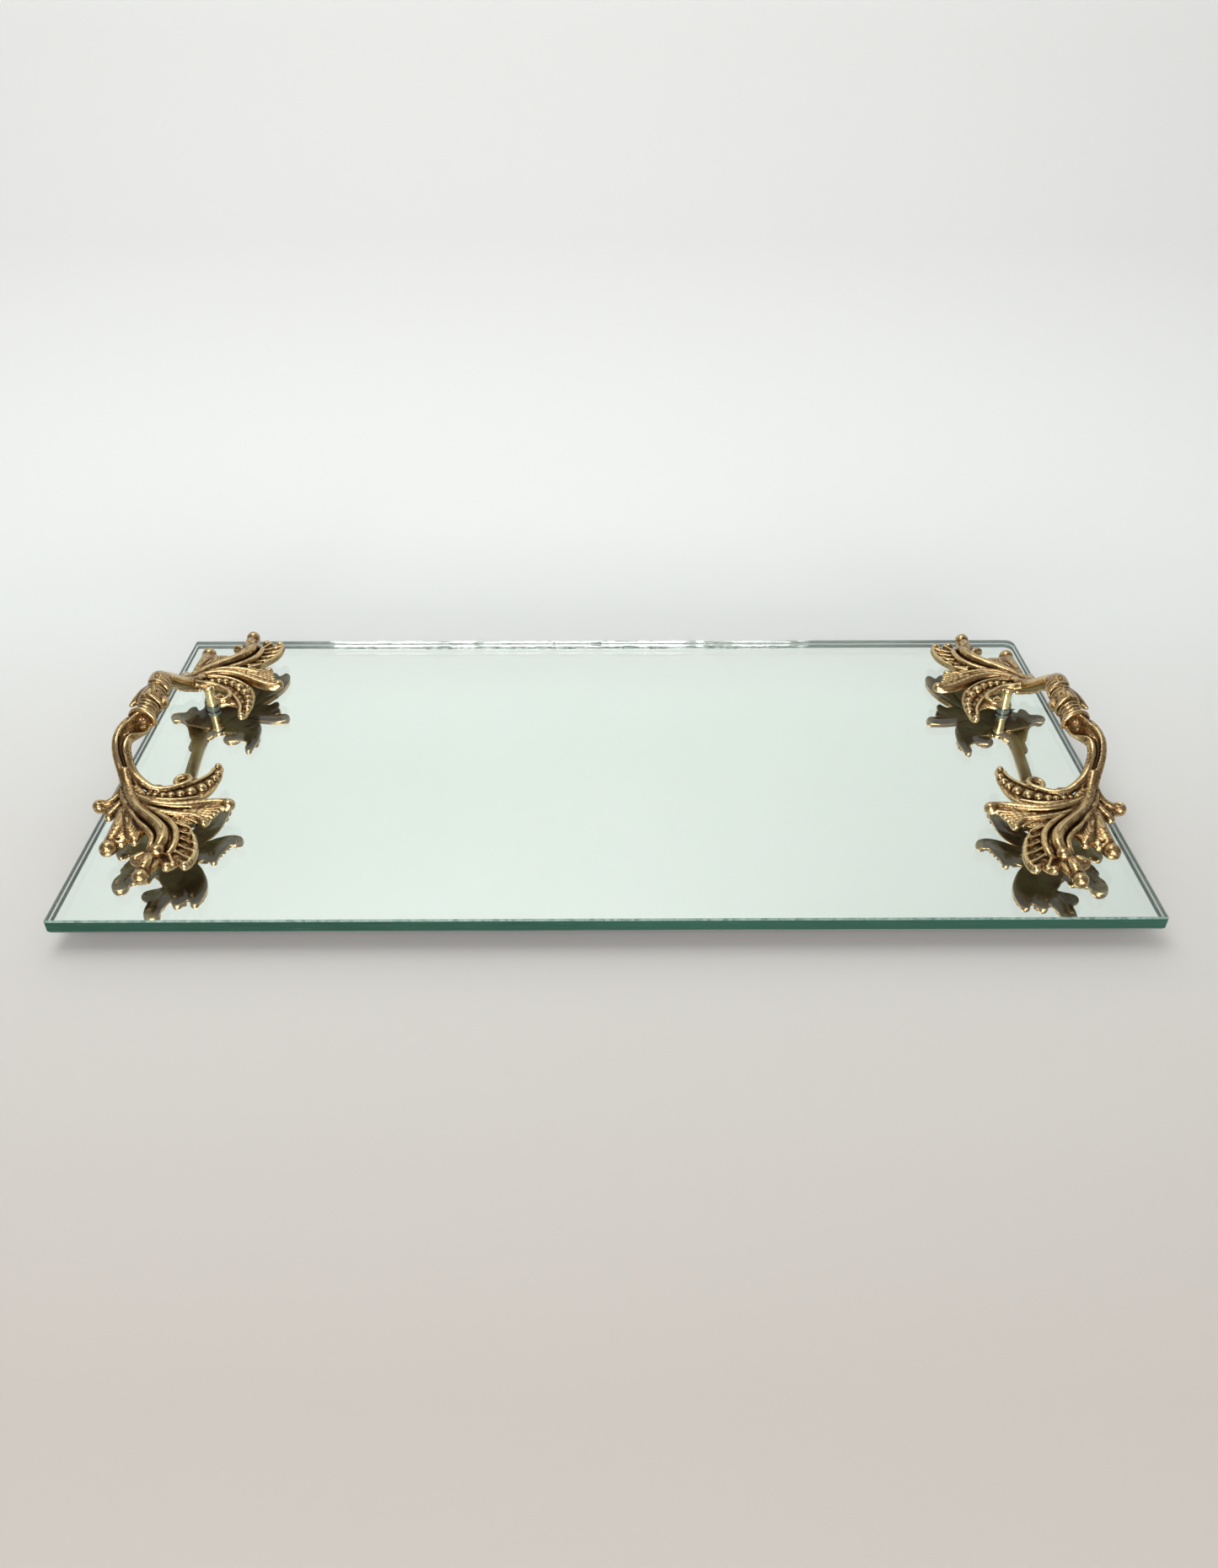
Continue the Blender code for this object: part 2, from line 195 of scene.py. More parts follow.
class Nodes:
    """Short ways to add nodes to a tree."""

    def __init__(self, tree):
        self.tree = tree

    def node(self, kind, **inputs):
        """A node with its inputs linked to sockets or set to values."""
        made = self.tree.nodes.new(kind)
        for name, value in inputs.items():
            self.feed(made.inputs[name.replace("_", " ")], value)
        return made

    def feed(self, socket, value):
        """Links a socket to another one, or sets it to a plain value."""
        if isinstance(value, bpy.types.NodeSocket):
            self.tree.links.new(value, socket)
        else:
            socket.default_value = value

    def place(self):
        return self.tree.nodes.new("ShaderNodeTexCoord").outputs["Object"]

    def noise(self, scale, detail=3, roughness=0.5, stretch=(1, 1, 1)):
        place = self.node("ShaderNodeMapping", Vector=self.place(), Scale=stretch).outputs["Vector"]
        settings = {"Scale": scale, "Detail": detail, "Roughness": roughness}
        return self.node("ShaderNodeTexNoise", Vector=place, **settings).outputs["Fac"]

    def sway(self, value, amount):
        """How far a noise is from its middle, times amount."""
        return self.math("MULTIPLY", self.math("SUBTRACT", value, 0.5), amount)

    def math(self, operation, first, second):
        made = self.tree.nodes.new("ShaderNodeMath")
        made.operation = operation
        self.feed(made.inputs[0], first)
        self.feed(made.inputs[1], second)
        return made.outputs[0]

    def map_range(self, value, low, high, to_low=0, to_high=1):
        made = self.tree.nodes.new("ShaderNodeMapRange")
        self.feed(made.inputs["Value"], value)
        for name, number in (("From Min", low), ("From Max", high), ("To Min", to_low), ("To Max", to_high)):
            made.inputs[name].default_value = number
        return made.outputs["Result"]

    def ramp(self, value, stops):
        made = self.tree.nodes.new("ShaderNodeValToRGB")
        self.feed(made.inputs["Fac"], value)
        elements = made.color_ramp.elements
        while len(elements) < len(stops):
            elements.new(0.5)
        for element, (place, color) in zip(elements, stops):
            element.position = place
            element.color = (*color, 1)
        return made.outputs["Color"]

    def mix(self, factor, first, second):
        """A blend of two colours, each a socket or three numbers."""
        made = self.tree.nodes.new("ShaderNodeMix")
        made.data_type = "RGBA"
        # a Mix node has a set of sockets for each kind of data, all with the same names
        first_color, second_color, mixed = made.inputs[6], made.inputs[7], made.outputs[2]
        self.feed(made.inputs[0], factor)
        for socket, color in ((first_color, first), (second_color, second)):
            self.feed(socket, (*color, 1) if isinstance(color, tuple) else color)
        return mixed


class Finish(Nodes):
    """A procedural material round one Principled shader."""

    def __init__(self, name):
        self.material = bpy.data.materials.new(name)
        self.material.use_nodes = True
        super().__init__(self.material.node_tree)
        self.shader = self.tree.nodes["Principled BSDF"]

    def set(self, name, value):
        self.feed(self.shader.inputs[name], value)

    def tint(self, value, stops):
        self.set("Base Color", self.ramp(value, stops))

    def roughen(self, value, low, high, to_low, to_high):
        self.set("Roughness", self.map_range(value, low, high, to_low, to_high))

    def bump(self, height, strength, distance):
        made = self.node("ShaderNodeBump", Height=height, Strength=strength, Distance=distance)
        self.set("Normal", made.outputs["Normal"])


def cast_brass():
    """Antique brass: brown in the hollows, rubbed gold on the high points, olive gold on the underside."""
    brass = Finish("cast_antique_brass")
    relief = brass.node("ShaderNodeAttribute")
    relief.attribute_name = "relief"
    up = brass.node("ShaderNodeSeparateXYZ", Vector=brass.node("ShaderNodeNewGeometry").outputs["Normal"])
    blotch = brass.noise(140, 4, 0.6)
    grain = brass.noise(1900, 3, 0.6)
    worn = brass.math("ADD", relief.outputs["Fac"], brass.sway(blotch, 0.4))
    worn = brass.math("ADD", worn, brass.sway(grain, 0.16))
    top = brass.ramp(worn, [
        (0, (0.022, 0.009, 0.003)),
        (0.28, (0.085, 0.041, 0.014)),
        (0.46, (0.225, 0.124, 0.048)),
        (0.64, (0.42, 0.265, 0.115)),
        (0.9, (0.66, 0.49, 0.255)),
    ])
    under = brass.map_range(up.outputs["Z"], -0.15, -0.45)
    olives = [(0.36, (0.15, 0.075, 0.022)), (0.5, (0.29, 0.2, 0.075)), (0.66, (0.4, 0.31, 0.13))]
    olive = brass.ramp(brass.noise(55), olives)
    brass.set("Base Color", brass.mix(under, top, olive))
    cast = brass.map_range(worn, 0.05, 0.5, 0.65, 1.0)
    brass.set("Metallic", brass.math("SUBTRACT", cast, brass.math("MULTIPLY", under, 0.3)))
    gloss = brass.map_range(worn, 0.2, 0.75, 0.42, 0.13)
    gloss = brass.math("MAXIMUM", gloss, brass.math("MULTIPLY", under, 0.46))
    brass.set("Roughness", brass.math("ADD", gloss, brass.math("MULTIPLY", grain, 0.08)))
    brass.bump(brass.math("ADD", grain, brass.math("MULTIPLY", blotch, 1.2)), 0.22, 0.2 * MM)
    return brass.material


def bright_brass():
    """Turned and polished brass with faint tool rings."""
    brass = Finish("turned_brass")
    rings = brass.noise(700, 2, 0.4, (0.02, 0.02, 1))
    haze = brass.noise(260)
    brass.tint(haze, [(0.3, (0.78, 0.60, 0.27)), (0.75, (0.92, 0.76, 0.42))])
    brass.set("Metallic", 1)
    brass.roughen(haze, 0.3, 0.8, 0.2, 0.34)
    brass.bump(rings, 0.25, 0.1 * MM)
    return brass.material


def clear_glass():
    """Float glass with a faint green body and a trace of dust and wiping marks."""
    glass = Finish("float_glass")
    glass.set("Base Color", (1, 1, 1, 1))
    glass.set("Transmission Weight", 1)
    glass.set("IOR", 1.52)
    smear = glass.noise(14, 4, 0.6, (1, 2.5, 1))
    glass.roughen(smear, 0.55, 0.8, 0, 0.02)
    body = glass.node("ShaderNodeVolumeAbsorption")
    body.inputs["Color"].default_value = (0.2, 0.93, 0.6, 1)
    body.inputs["Density"].default_value = 4.5
    glass.feed(glass.tree.nodes["Material Output"].inputs["Volume"], body.outputs["Volume"])
    return glass.material


def glass_edge():
    """The flat-ground edge, with painted light: an opaque deep green stands in for the light that the long
    way through the plate gives it, a paler tone paints the edge seen from inside through the glass, and
    near-white metal glints are painted along the chipped stretch of the back edge.
    """
    edge = Finish("green_glass_edge")
    streak = edge.noise(60, 4, 0.6, (1, 1, 14))
    drift = edge.noise(5, 2)
    # painted light: the opaque deep green stands in for light that reaches the edge the long way through the
    # plate
    tone = edge.ramp(streak, [(0.3, (0.005, 0.038, 0.024)), (0.7, (0.015, 0.068, 0.045))])
    outside = edge.mix(edge.map_range(drift, 0.4, 0.75), tone, (0.022, 0.085, 0.06))
    # painted light: paler where the edge is seen from inside through the glass
    inside = edge.ramp(streak, [(0.3, (0.30, 0.38, 0.35)), (0.7, (0.48, 0.56, 0.53))])
    behind = edge.node("ShaderNodeNewGeometry").outputs["Backfacing"]
    # painted glints: near-white metal flecks along the chipped stretch of the back edge
    glint_spots = edge.map_range(edge.noise(260, 4, 0.7, (0.35, 1, 1)), 0.42, 0.5)
    glint = edge.math("MULTIPLY", chipped_stretch(edge), glint_spots)
    edge.set("Base Color", edge.mix(glint, edge.mix(behind, outside, inside), (0.95, 0.98, 0.97)))
    edge.set("Metallic", glint)
    edge.roughen(streak, 0.3, 0.7, 0.12, 0.3)
    edge.set("IOR", 1.52)
    edge.set("Specular IOR Level", 0.3)
    edge.bump(streak, 0.1, 0.2 * MM)
    return edge.material


def chipped_stretch(finish):
    """One along the stretch of the back edge that is chipped, nought elsewhere: where the painted glints go.
    """
    spot = finish.node("ShaderNodeSeparateXYZ", Vector=finish.place())
    at_back = finish.map_range(spot.outputs["Y"], glass_high.y - 3.2 * MM, glass_high.y - 2.8 * MM)
    from_left = finish.map_range(spot.outputs["X"], CHIPPED_FROM - 5 * MM, CHIPPED_FROM)
    to_right = finish.map_range(spot.outputs["X"], CHIPPED_TO + 5 * MM, CHIPPED_TO)
    return finish.math("MULTIPLY", at_back, finish.math("MULTIPLY", from_left, to_right))


def glass_arris():
    """The narrow ground bevel along the plate's edges, which catches the light; painted light makes it paler
    where it is seen from inside through the glass, and near-white metal glints are painted along the chipped
    stretch of the back edge.
    """
    arris = Finish("ground_arris")
    nick = arris.noise(420, 4, 0.65)
    ground = arris.ramp(nick, [(0.35, (0.1, 0.18, 0.15)), (0.7, (0.3, 0.41, 0.36))])
    behind = arris.node("ShaderNodeNewGeometry").outputs["Backfacing"]
    # painted glints: near-white metal flecks along the chipped stretch of the back edge
    glint = arris.math("MULTIPLY", chipped_stretch(arris), arris.map_range(nick, 0.42, 0.5))
    # painted light: paler where the bevel is seen from inside through the glass
    plain = arris.mix(behind, ground, (0.42, 0.52, 0.48))
    arris.set("Base Color", arris.mix(glint, plain, (0.95, 0.98, 0.97)))
    arris.set("Metallic", glint)
    arris.roughen(nick, 0.3, 0.8, 0.2, 0.5)
    arris.bump(nick, 0.5, 0.3 * MM)
    return arris.material


def silvering():
    """Bright silver seen through the glass."""
    silver = Finish("silvering")
    cloud = silver.noise(9)
    silver.tint(cloud, [(0.3, (0.925, 0.94, 0.93)), (0.7, (0.945, 0.955, 0.95))])
    silver.set("Metallic", 1)
    silver.roughen(cloud, 0.3, 0.8, 0, 0.012)
    return silver.material


def backing_paint():
    """Grey protective paint on the mirror's back, with roller stipple."""
    paint = Finish("mirror_back_paint")
    stipple = paint.noise(700, 4, 0.6)
    wear = paint.noise(22, 5, 0.65)
    paint.tint(wear, [(0.35, (0.115, 0.12, 0.125)), (0.7, (0.19, 0.195, 0.2))])
    paint.roughen(wear, 0.3, 0.7, 0.42, 0.62)
    paint.bump(stipple, 0.3, 0.2 * MM)
    return paint.material


def plated_steel():
    """Zinc-plated steel, a little dull."""
    steel = Finish("zinc_plated_steel")
    spangle = steel.noise(900, 3, 0.6)
    steel.tint(spangle, [(0.3, (0.5, 0.5, 0.48)), (0.75, (0.72, 0.72, 0.69))])
    steel.set("Metallic", 1)
    steel.roughen(spangle, 0.3, 0.8, 0.24, 0.42)
    steel.bump(spangle, 0.2, 0.08 * MM)
    return steel.material


def red_fibre():
    """Pressed vulcanised fibre."""
    fibre = Finish("red_fibre")
    mottle = fibre.noise(800, 5, 0.7)
    fibre.tint(mottle, [(0.3, (0.16, 0.045, 0.03)), (0.7, (0.28, 0.09, 0.06))])
    fibre.roughen(mottle, 0.3, 0.7, 0.6, 0.85)
    fibre.bump(mottle, 0.4, 0.2 * MM)
    return fibre.material


def foot_rubber():
    """Soft grey rubber with a satin moulded skin."""
    rubber = Finish("grey_rubber")
    skin = rubber.noise(1100, 3, 0.6)
    tone = rubber.noise(90)
    rubber.tint(tone, [(0.3, (0.42, 0.42, 0.405)), (0.7, (0.52, 0.52, 0.5))])
    rubber.roughen(skin, 0.3, 0.8, 0.42, 0.62)
    rubber.bump(skin, 0.25, 0.15 * MM)
    return rubber.material


# ---- clay


def smooth_path(points, step):
    """Points at about the given step on a Catmull-Rom curve; each has a place in its first three numbers."""
    knots = np.array(points, float)
    knots = np.vstack([2 * knots[0] - knots[1], knots, 2 * knots[-1] - knots[-2]])
    path = []
    for a, b, c, d in zip(knots, knots[1:], knots[2:], knots[3:]):
        count = max(1, round(float(np.linalg.norm((c - b)[:3])) / step))
        square, cube = 2 * a - 5 * b + 4 * c - d, 3 * b - a - 3 * c + d
        path += [0.5 * (2 * b + (c - a) * t + square * t**2 + cube * t**3) for t in np.arange(count) / count]
    path.append(knots[-2])
    return np.array(path)


def closed_path(points, step):
    """A smooth closed outline through (u, v) points."""
    wrapped = [*points[-3:], *points, *points[:3]]
    path = smooth_path([(u, v, 0) for u, v in wrapped], step)[:, :2]
    start = int(np.argmin(np.linalg.norm(path[: len(path) // 2] - points[0], axis=1)))
    tail = len(path) // 2 + int(np.argmin(np.linalg.norm(path[len(path) // 2 :] - points[0], axis=1)))
    return path[start:tail]


def dome(u, s):
    """Height of a leaf cluster's face above the glass, s from the pull's middle towards its end."""
    return 7.8 + 3.3 * np.exp(-(((u + 2) / 19.0) ** 2 + ((s - 53) / 24.0) ** 2))


class Clay:
    """A block of cells that hold the distance to a surface, worked by adding and cutting shapes."""

    FAR = 4
    ROD_STEP = 0.9

    def __init__(self, low, high, step):
        self.low = np.array(low, float)
        self.step = step
        self.shape = np.ceil((np.array(high) - self.low) / step).astype(int) + 1
        self.field = np.full(self.shape, self.FAR, np.float32)

    def window(self, low, high):
        """The cells between two corners, as slices and as three arrays of coordinates."""
        first = np.floor((np.array(low) - self.low) / self.step).astype(int)
        first = np.clip(first, 0, self.shape - 1)
        last = np.ceil((np.array(high) - self.low) / self.step).astype(int) + 1
        last = np.clip(last, first + 1, self.shape)
        cells = tuple(slice(a, b) for a, b in zip(first, last))
        axes = [self.low[i] + self.step * np.arange(first[i], last[i]) for i in range(3)]
        return cells, axes[0][:, None, None], axes[1][None, :, None], axes[2][None, None, :]

    def merge(self, cells, distance, blend):
        """Joins a shape with a fillet of about the blend's size."""
        old = self.field[cells]
        share = np.clip(0.5 + 0.5 * (old - distance) / blend, 0, 1)
        self.field[cells] = old + (distance - old) * share - blend * share * (1 - share)

    def carve(self, cells, distance, blend):
        """Cuts a shape away, easing the edge."""
        old = self.field[cells]
        cut = -distance
        share = np.clip(0.5 - 0.5 * (old - cut) / blend, 0, 1)
        self.field[cells] = old + (cut - old) * share + blend * share * (1 - share)

    def tube(self, path, pad):
        """Distance to a round rod of varying radius along path."""
        low = (path[:, :3] - path[:, 3:4]).min(0) - pad
        high = (path[:, :3] + path[:, 3:4]).max(0) + pad
        cells = self.window(low, high)[0]
        own = np.full(self.field[cells].shape, self.FAR, np.float32)
        for start, end in zip(path, path[1:]):
            reach = max(start[3], end[3]) + pad
            ends = np.array([start[:3], end[:3]])
            near, u, v, h = self.window(ends.min(0) - reach, ends.max(0) + reach)
            part = tuple(slice(max(n.start - c.start, 0), n.stop - c.start) for n, c in zip(near, cells))
            way = end[:3] - start[:3]
            offset = (u - start[0], v - start[1], h - start[2])
            along = sum(gone * stride for gone, stride in zip(offset, way))
            along = np.clip(along / max(float(way @ way), 1e-9), 0, 1)
            away = np.sqrt(sum((gone - along * stride) ** 2 for gone, stride in zip(offset, way)))
            gap = away - (start[3] + along * (end[3] - start[3]))
            target = own[part]
            np.minimum(target, gap[tuple(slice(0, n) for n in target.shape)], out=target)
        return cells, own

    def add_rod(self, points, blend):
        """A smooth rod through points of (u, v, h, radius)."""
        cells, own = self.tube(smooth_path(points, self.ROD_STEP), blend + 1.5 * self.step)
        self.merge(cells, own, blend)

    def cut_rod(self, points, blend):
        """A groove along points of (u, v, h, radius)."""
        cells, own = self.tube(smooth_path(points, self.ROD_STEP), blend + 1.5 * self.step)
        self.carve(cells, own, blend)

    def add_ball(self, place, radius, blend):
        """A ball at (u, v, h)."""
        cells, u, v, h = self.window(np.array(place) - radius - 2, np.array(place) + radius + 2)
        away = np.sqrt((u - place[0]) ** 2 + (v - place[1]) ** 2 + (h - place[2]) ** 2) - radius
        self.merge(cells, away, blend)

    def add_leaf(self, outline, toward, thickness, crown, blend):
        """A curved sheet with an outline in plan, on the dome, its face swelling away from its edge."""
        rim = closed_path(outline, 0.8)
        rim[:, 1] *= toward
        pad = 3
        cells, u, v, h = self.window((*(rim.min(0) - pad), 2), (*(rim.max(0) + pad), 22))
        edge = edge_distance(u[:, 0, 0], v[0, :, 0], rim)
        face = dome(u[:, :, 0], toward * v[:, :, 0]) + crown * (1 - np.exp(np.minimum(edge, 0) / 1.8))
        slab = np.abs(h - (face - thickness / 2)[:, :, None]) - thickness / 2
        side = edge[:, :, None]
        share = np.clip(0.5 - 0.5 * (slab - side), 0, 1)
        shape = slab + (side - slab) * share + share * (1 - share)
        self.merge(cells, shape.astype(np.float32), blend)

    def sample(self, field, points):
        """A field's value at points, by the nearest cell."""
        cells = np.clip(np.rint((points - self.low) / self.step).astype(int), 0, self.shape - 1)
        return field[cells[:, 0], cells[:, 1], cells[:, 2]]

    def surface(self):
        """The points and faces of the zero surface."""
        grid = openvdb.FloatGrid(background=self.FAR)
        grid.copyFromArray(np.ascontiguousarray(self.field))
        points, triangles, quads = grid.convertToPolygons(isovalue=0.0, adaptivity=0.0)
        return points * self.step + self.low, triangles, quads


def edge_distance(u, v, rim):
    """Signed distance in plan from a grid of points to a closed outline, negative inside."""
    grid_u, grid_v = np.meshgrid(u, v, indexing="ij")
    nearest = np.full(grid_u.shape, 1e9)
    inside = np.zeros(grid_u.shape, bool)
    for (u0, v0), (u1, v1) in zip(rim, np.roll(rim, -1, axis=0)):
        du, dv = u1 - u0, v1 - v0
        along = np.clip(((grid_u - u0) * du + (grid_v - v0) * dv) / max(du * du + dv * dv, 1e-9), 0, 1)
        nearest = np.minimum(nearest, (grid_u - u0 - along * du) ** 2 + (grid_v - v0 - along * dv) ** 2)
        if dv:
            inside ^= ((v0 > grid_v) != (v1 > grid_v)) & (grid_u < u0 + (grid_v - v0) * du / dv)
    distance = np.sqrt(nearest)
    return np.where(inside, -distance, distance)


def blurred(field, passes):
    """A field averaged with its neighbours along each axis."""
    out = field.copy()
    for _ in range(passes):
        for axis in range(3):
            out = (np.roll(out, 1, axis) + 2 * out + np.roll(out, -1, axis)) / 4
    return out


# ---- the casting


def model_cluster(clay, toward):
    """The leaves at one end of a pull; toward is 1 at the back end and -1 at the front."""

    def rod(points, blend):
        clay.add_rod([(u, toward * s, h, r) for u, s, h, r in points], blend)

    def rib(points, blend=0.35):
        """A rib whose height is given above the dome."""
        rod([(u, s, dome(u, s) + lift, r) for u, s, lift, r in points], blend)

    def groove(points, blend=0.3):
        clay.cut_rod([(u, toward * s, dome(u, s) + lift, r) for u, s, lift, r in points], blend)

    def ball(u, s, h, r, blend=0.4):
        clay.add_ball((u, toward * s, h), r, blend)

    def leaf(outline, thickness=2, crown=1, blend=0.4):
        """A sheet with (u, s) points round it, s from the pull's middle towards this end."""
        clay.add_leaf(outline, toward, thickness, crown, blend)

    # the thin sheets that the ribs stand on
    leaf([
        (14, 45.6), (14.4, 50), (12.6, 58), (8.8, 64), (3, 64), (-2.2, 69), (-6.5, 79), (-12.7, 84.3),
        (-16.7, 79), (-14.9, 70.6), (-12, 62), (-6.8, 55), (-2.5, 48), (-2.6, 44.6), (1, 43.8), (6, 43.4),
        (10, 44.4),
    ], 2.6, 0.8, 0.6)
    leaf([
        (12.8, 58), (11, 62), (12.8, 66.5), (12.9, 70.3), (11.8, 73), (13.6, 76.7), (13.7, 80.8),
        (12.2, 84.2), (9.6, 85), (6.9, 83.6), (5.8, 80.4), (4, 79.4), (2.6, 77.2), (0.3, 79), (-1.9, 77.8),
        (-2.2, 74.2), (-3.2, 71), (-0.7, 66.9), (2.6, 59.3),
    ], 2.4, 2.0)
    leaf([
        (12.6, 46.2), (15.4, 45.6), (17.7, 47.4), (20.2, 48.8), (24.8, 48.8), (26.2, 52.5), (23.3, 55.7),
        (19.8, 56.5), (18.7, 60.3), (16.3, 61.8), (14.2, 59.8), (12.2, 59.7), (9.8, 63.2), (7.1, 57.4),
        (8.9, 49),
    ])
    leaf([
        (-13.7, 81.2), (-15, 87.5), (-14.3, 92.7), (-12.9, 96.3), (-12.5, 100.4), (-9.5, 102.9),
        (-6.1, 100.4), (-5.3, 96.2), (-5.2, 92.6), (-2.4, 90.5), (-1.2, 87.4), (-2.9, 84.8), (-6.7, 83.2),
    ], 2, 1.3)
    leaf([
        (-12.1, 61.8), (-17.4, 64.5), (-21.4, 68.3), (-24.3, 72.7), (-26.8, 77.2), (-28.3, 81.7),
        (-28.8, 86.8), (-28, 91.9), (-25.4, 94.3), (-22.5, 91.4), (-20.7, 93.6), (-17.9, 95), (-15.5, 92.7),
        (-14.8, 85.4), (-16.1, 78.1), (-13.9, 69.5),
    ], 2, 0.3)
    leaf([
        (4.4, 50.6), (-4.7, 53.8), (-11.9, 53.6), (-18.7, 50.6), (-25, 48), (-30.7, 46.9), (-34.8, 48.4),
        (-35.9, 51.3), (-33.8, 53.9), (-30.9, 54.3), (-29.7, 57.7), (-28.3, 60.6), (-27.9, 64.5),
        (-25.7, 66), (-22.5, 63.6), (-18.4, 64.9), (-12.2, 64.9), (-5, 62.6), (2.2, 58.2),
    ])
    leaf([
        (3.6, 44.2), (-4.5, 44.7), (-8.6, 42.2), (-11.6, 39), (-12.2, 34.4), (-13.1, 31.4), (-16.6, 30.6),
        (-19.1, 27.4), (-19.4, 22.6), (-21.4, 20), (-23.8, 21.9), (-24.3, 25.4), (-24.9, 30.2),
        (-24.6, 34.4), (-24.2, 38.7), (-22.9, 43.6), (-20.2, 48.2), (-14.2, 52.2), (-6.7, 54.6), (0.3, 54.6),
    ], 2, 0.2)

    # the rail round the hand opening, and the hollow volute it winds into
    rod([
        (5.4, 42.8, 13.9, 2), (2, 44.2, 12.4, 2), (-1.8, 44.6, 11.7, 1.9), (-5.4, 43.5, 11.2, 1.75),
        (-8.4, 41.4, 11, 1.6), (-11, 39.6, 11, 1.45), (-12.6, 37.6, 10.9, 1.3), (-12.6, 35, 10.8, 1.25),
        (-11.2, 32.8, 10.6, 1.25), (-8.8, 32.3, 10.4, 1.25), (-6.6, 33.6, 10.2, 1.2), (-6, 36, 10, 1.2),
        (-7.2, 38.2, 9.8, 1.1),
    ], 0.25)
    ball(-9.4, 35.6, 8.2, 3.0, 0.4)
    clay.cut_rod([(-9.5, toward * 35.4, 12.4, 1.7), (-9.3, toward * 35.8, 10.4, 1.5)], 0.3)
    rod([(-13.4, 36, 9, 1.3), (-12.4, 32.6, 8.6, 1.4), (-9.4, 31.4, 8.2, 1.4)], 0.5)

    # the pearled leaf: pearls that shrink towards the tip, in a trench between two rails
    trench = [
        (2, 47.6, 2.1, 1.5), (-4, 48.2, 2.1, 1.7), (-9.4, 47, 2, 1.8), (-14, 44, 1.9, 1.9),
        (-18, 39.6, 1.8, 1.8), (-20.6, 34.6, 1.7, 1.6), (-21.9, 29.4, 1.6, 1.4),
    ]
    groove(trench)
    pearls = smooth_path([
        (2.4, 48, 0, 1.6), (-3.4, 48.8, 0, 1.9), (-9, 48, 0, 2.3), (-14.2, 45.4, 0, 2.5),
        (-18.8, 41, 0, 2.45), (-21.8, 35.4, 0, 2.2), (-23.2, 29.8, 0, 1.8), (-23, 25.4, 0, 1.4),
    ], 0.25)
    lengths = np.concatenate([[0], np.cumsum(np.linalg.norm(np.diff(pearls[:, :2], axis=0), axis=1))])
    place = 0.0
    while place < lengths[-1]:
        u, s, _, r = pearls[int(np.searchsorted(lengths, place))]
        r *= 1.06 + 0.14 * math.sin(1.7 * place)
        ball(u, s, dome(u, s) + 0.3, r, 0.12)
        place += 1.95 * r
    rib([
        (6.4, 49.4, 1.8, 1.3), (0, 51.9, 1.2, 1.2), (-7, 52, 0.7, 1.1), (-13.6, 50.2, 0.4, 1),
        (-19, 46.8, 0.1, 0.9),
    ], 0.25)
    rib([
        (-11.2, 40.6, 0.9, 1), (-14.4, 37, 0.8, 1), (-17.4, 33, 0.8, 0.95), (-19.6, 28.6, 0.7, 0.9),
        (-20.2, 24.4, 0.5, 1),
    ], 0.25)
    ball(-21.4, 21.8, 8.2, 1.7)

    # the leaf towards the tray's middle: a smooth crest, a deep groove, a striped lower edge and two tips
    rib([
        (11, 44.4, 4.6, 1.7), (7.3, 49.9, 2.4, 1.9), (0.3, 54.3, 1.6, 2), (-6.8, 56.1, 1, 2.1),
        (-14, 55.2, 0.7, 2.2), (-20.3, 52.8, 0.5, 2.2), (-26.6, 50.3, 0.3, 2), (-32.3, 49.4, 0.1, 1.9),
    ], 0.4)
    rib([
        (8.7, 50.1, 1.5, 1.3), (1.2, 57.5, 1.4, 1.4), (-7, 60.8, 1, 1.6), (-15.2, 61.2, 0.7, 1.6),
        (-21.4, 60.6, 0.4, 1.3), (-26, 63.8, 0, 1.2),
    ])
    groove([(5.2, 53.6, 1.9, 0.8), (-2.8, 57.7, 1.3, 0.9), (-11, 58.5, 1, 0.9), (-18.2, 56.7, 0.8, 0.7)])
    for end_u, end_s in ((-31.6, 53.2), (-30.6, 55.6), (-29.5, 58), (-28.6, 60.3), (-27.6, 62.4)):
        rib([
            (-16, 59.2 + 0.22 * (end_s - 58), 0.9, 0.45),
            (0.5 * (end_u - 16), 0.5 * (end_s + 59.2), 0.8, 0.62), (end_u, end_s, 0.1, 0.6),
        ], 0.15)
    for end_u, end_s in ((-23, 64.4), (-18.8, 65.2), (-13.6, 65)):
        rib([(end_u + 7, 62 + 0.1 * (end_s - 64), 0.7, 0.45), (end_u, end_s, 0.1, 0.6)], 0.15)
    ball(-33.5, 50.7, 8.0, 2.8)
    ball(-26.2, 64.6, 8.4, 1.6)

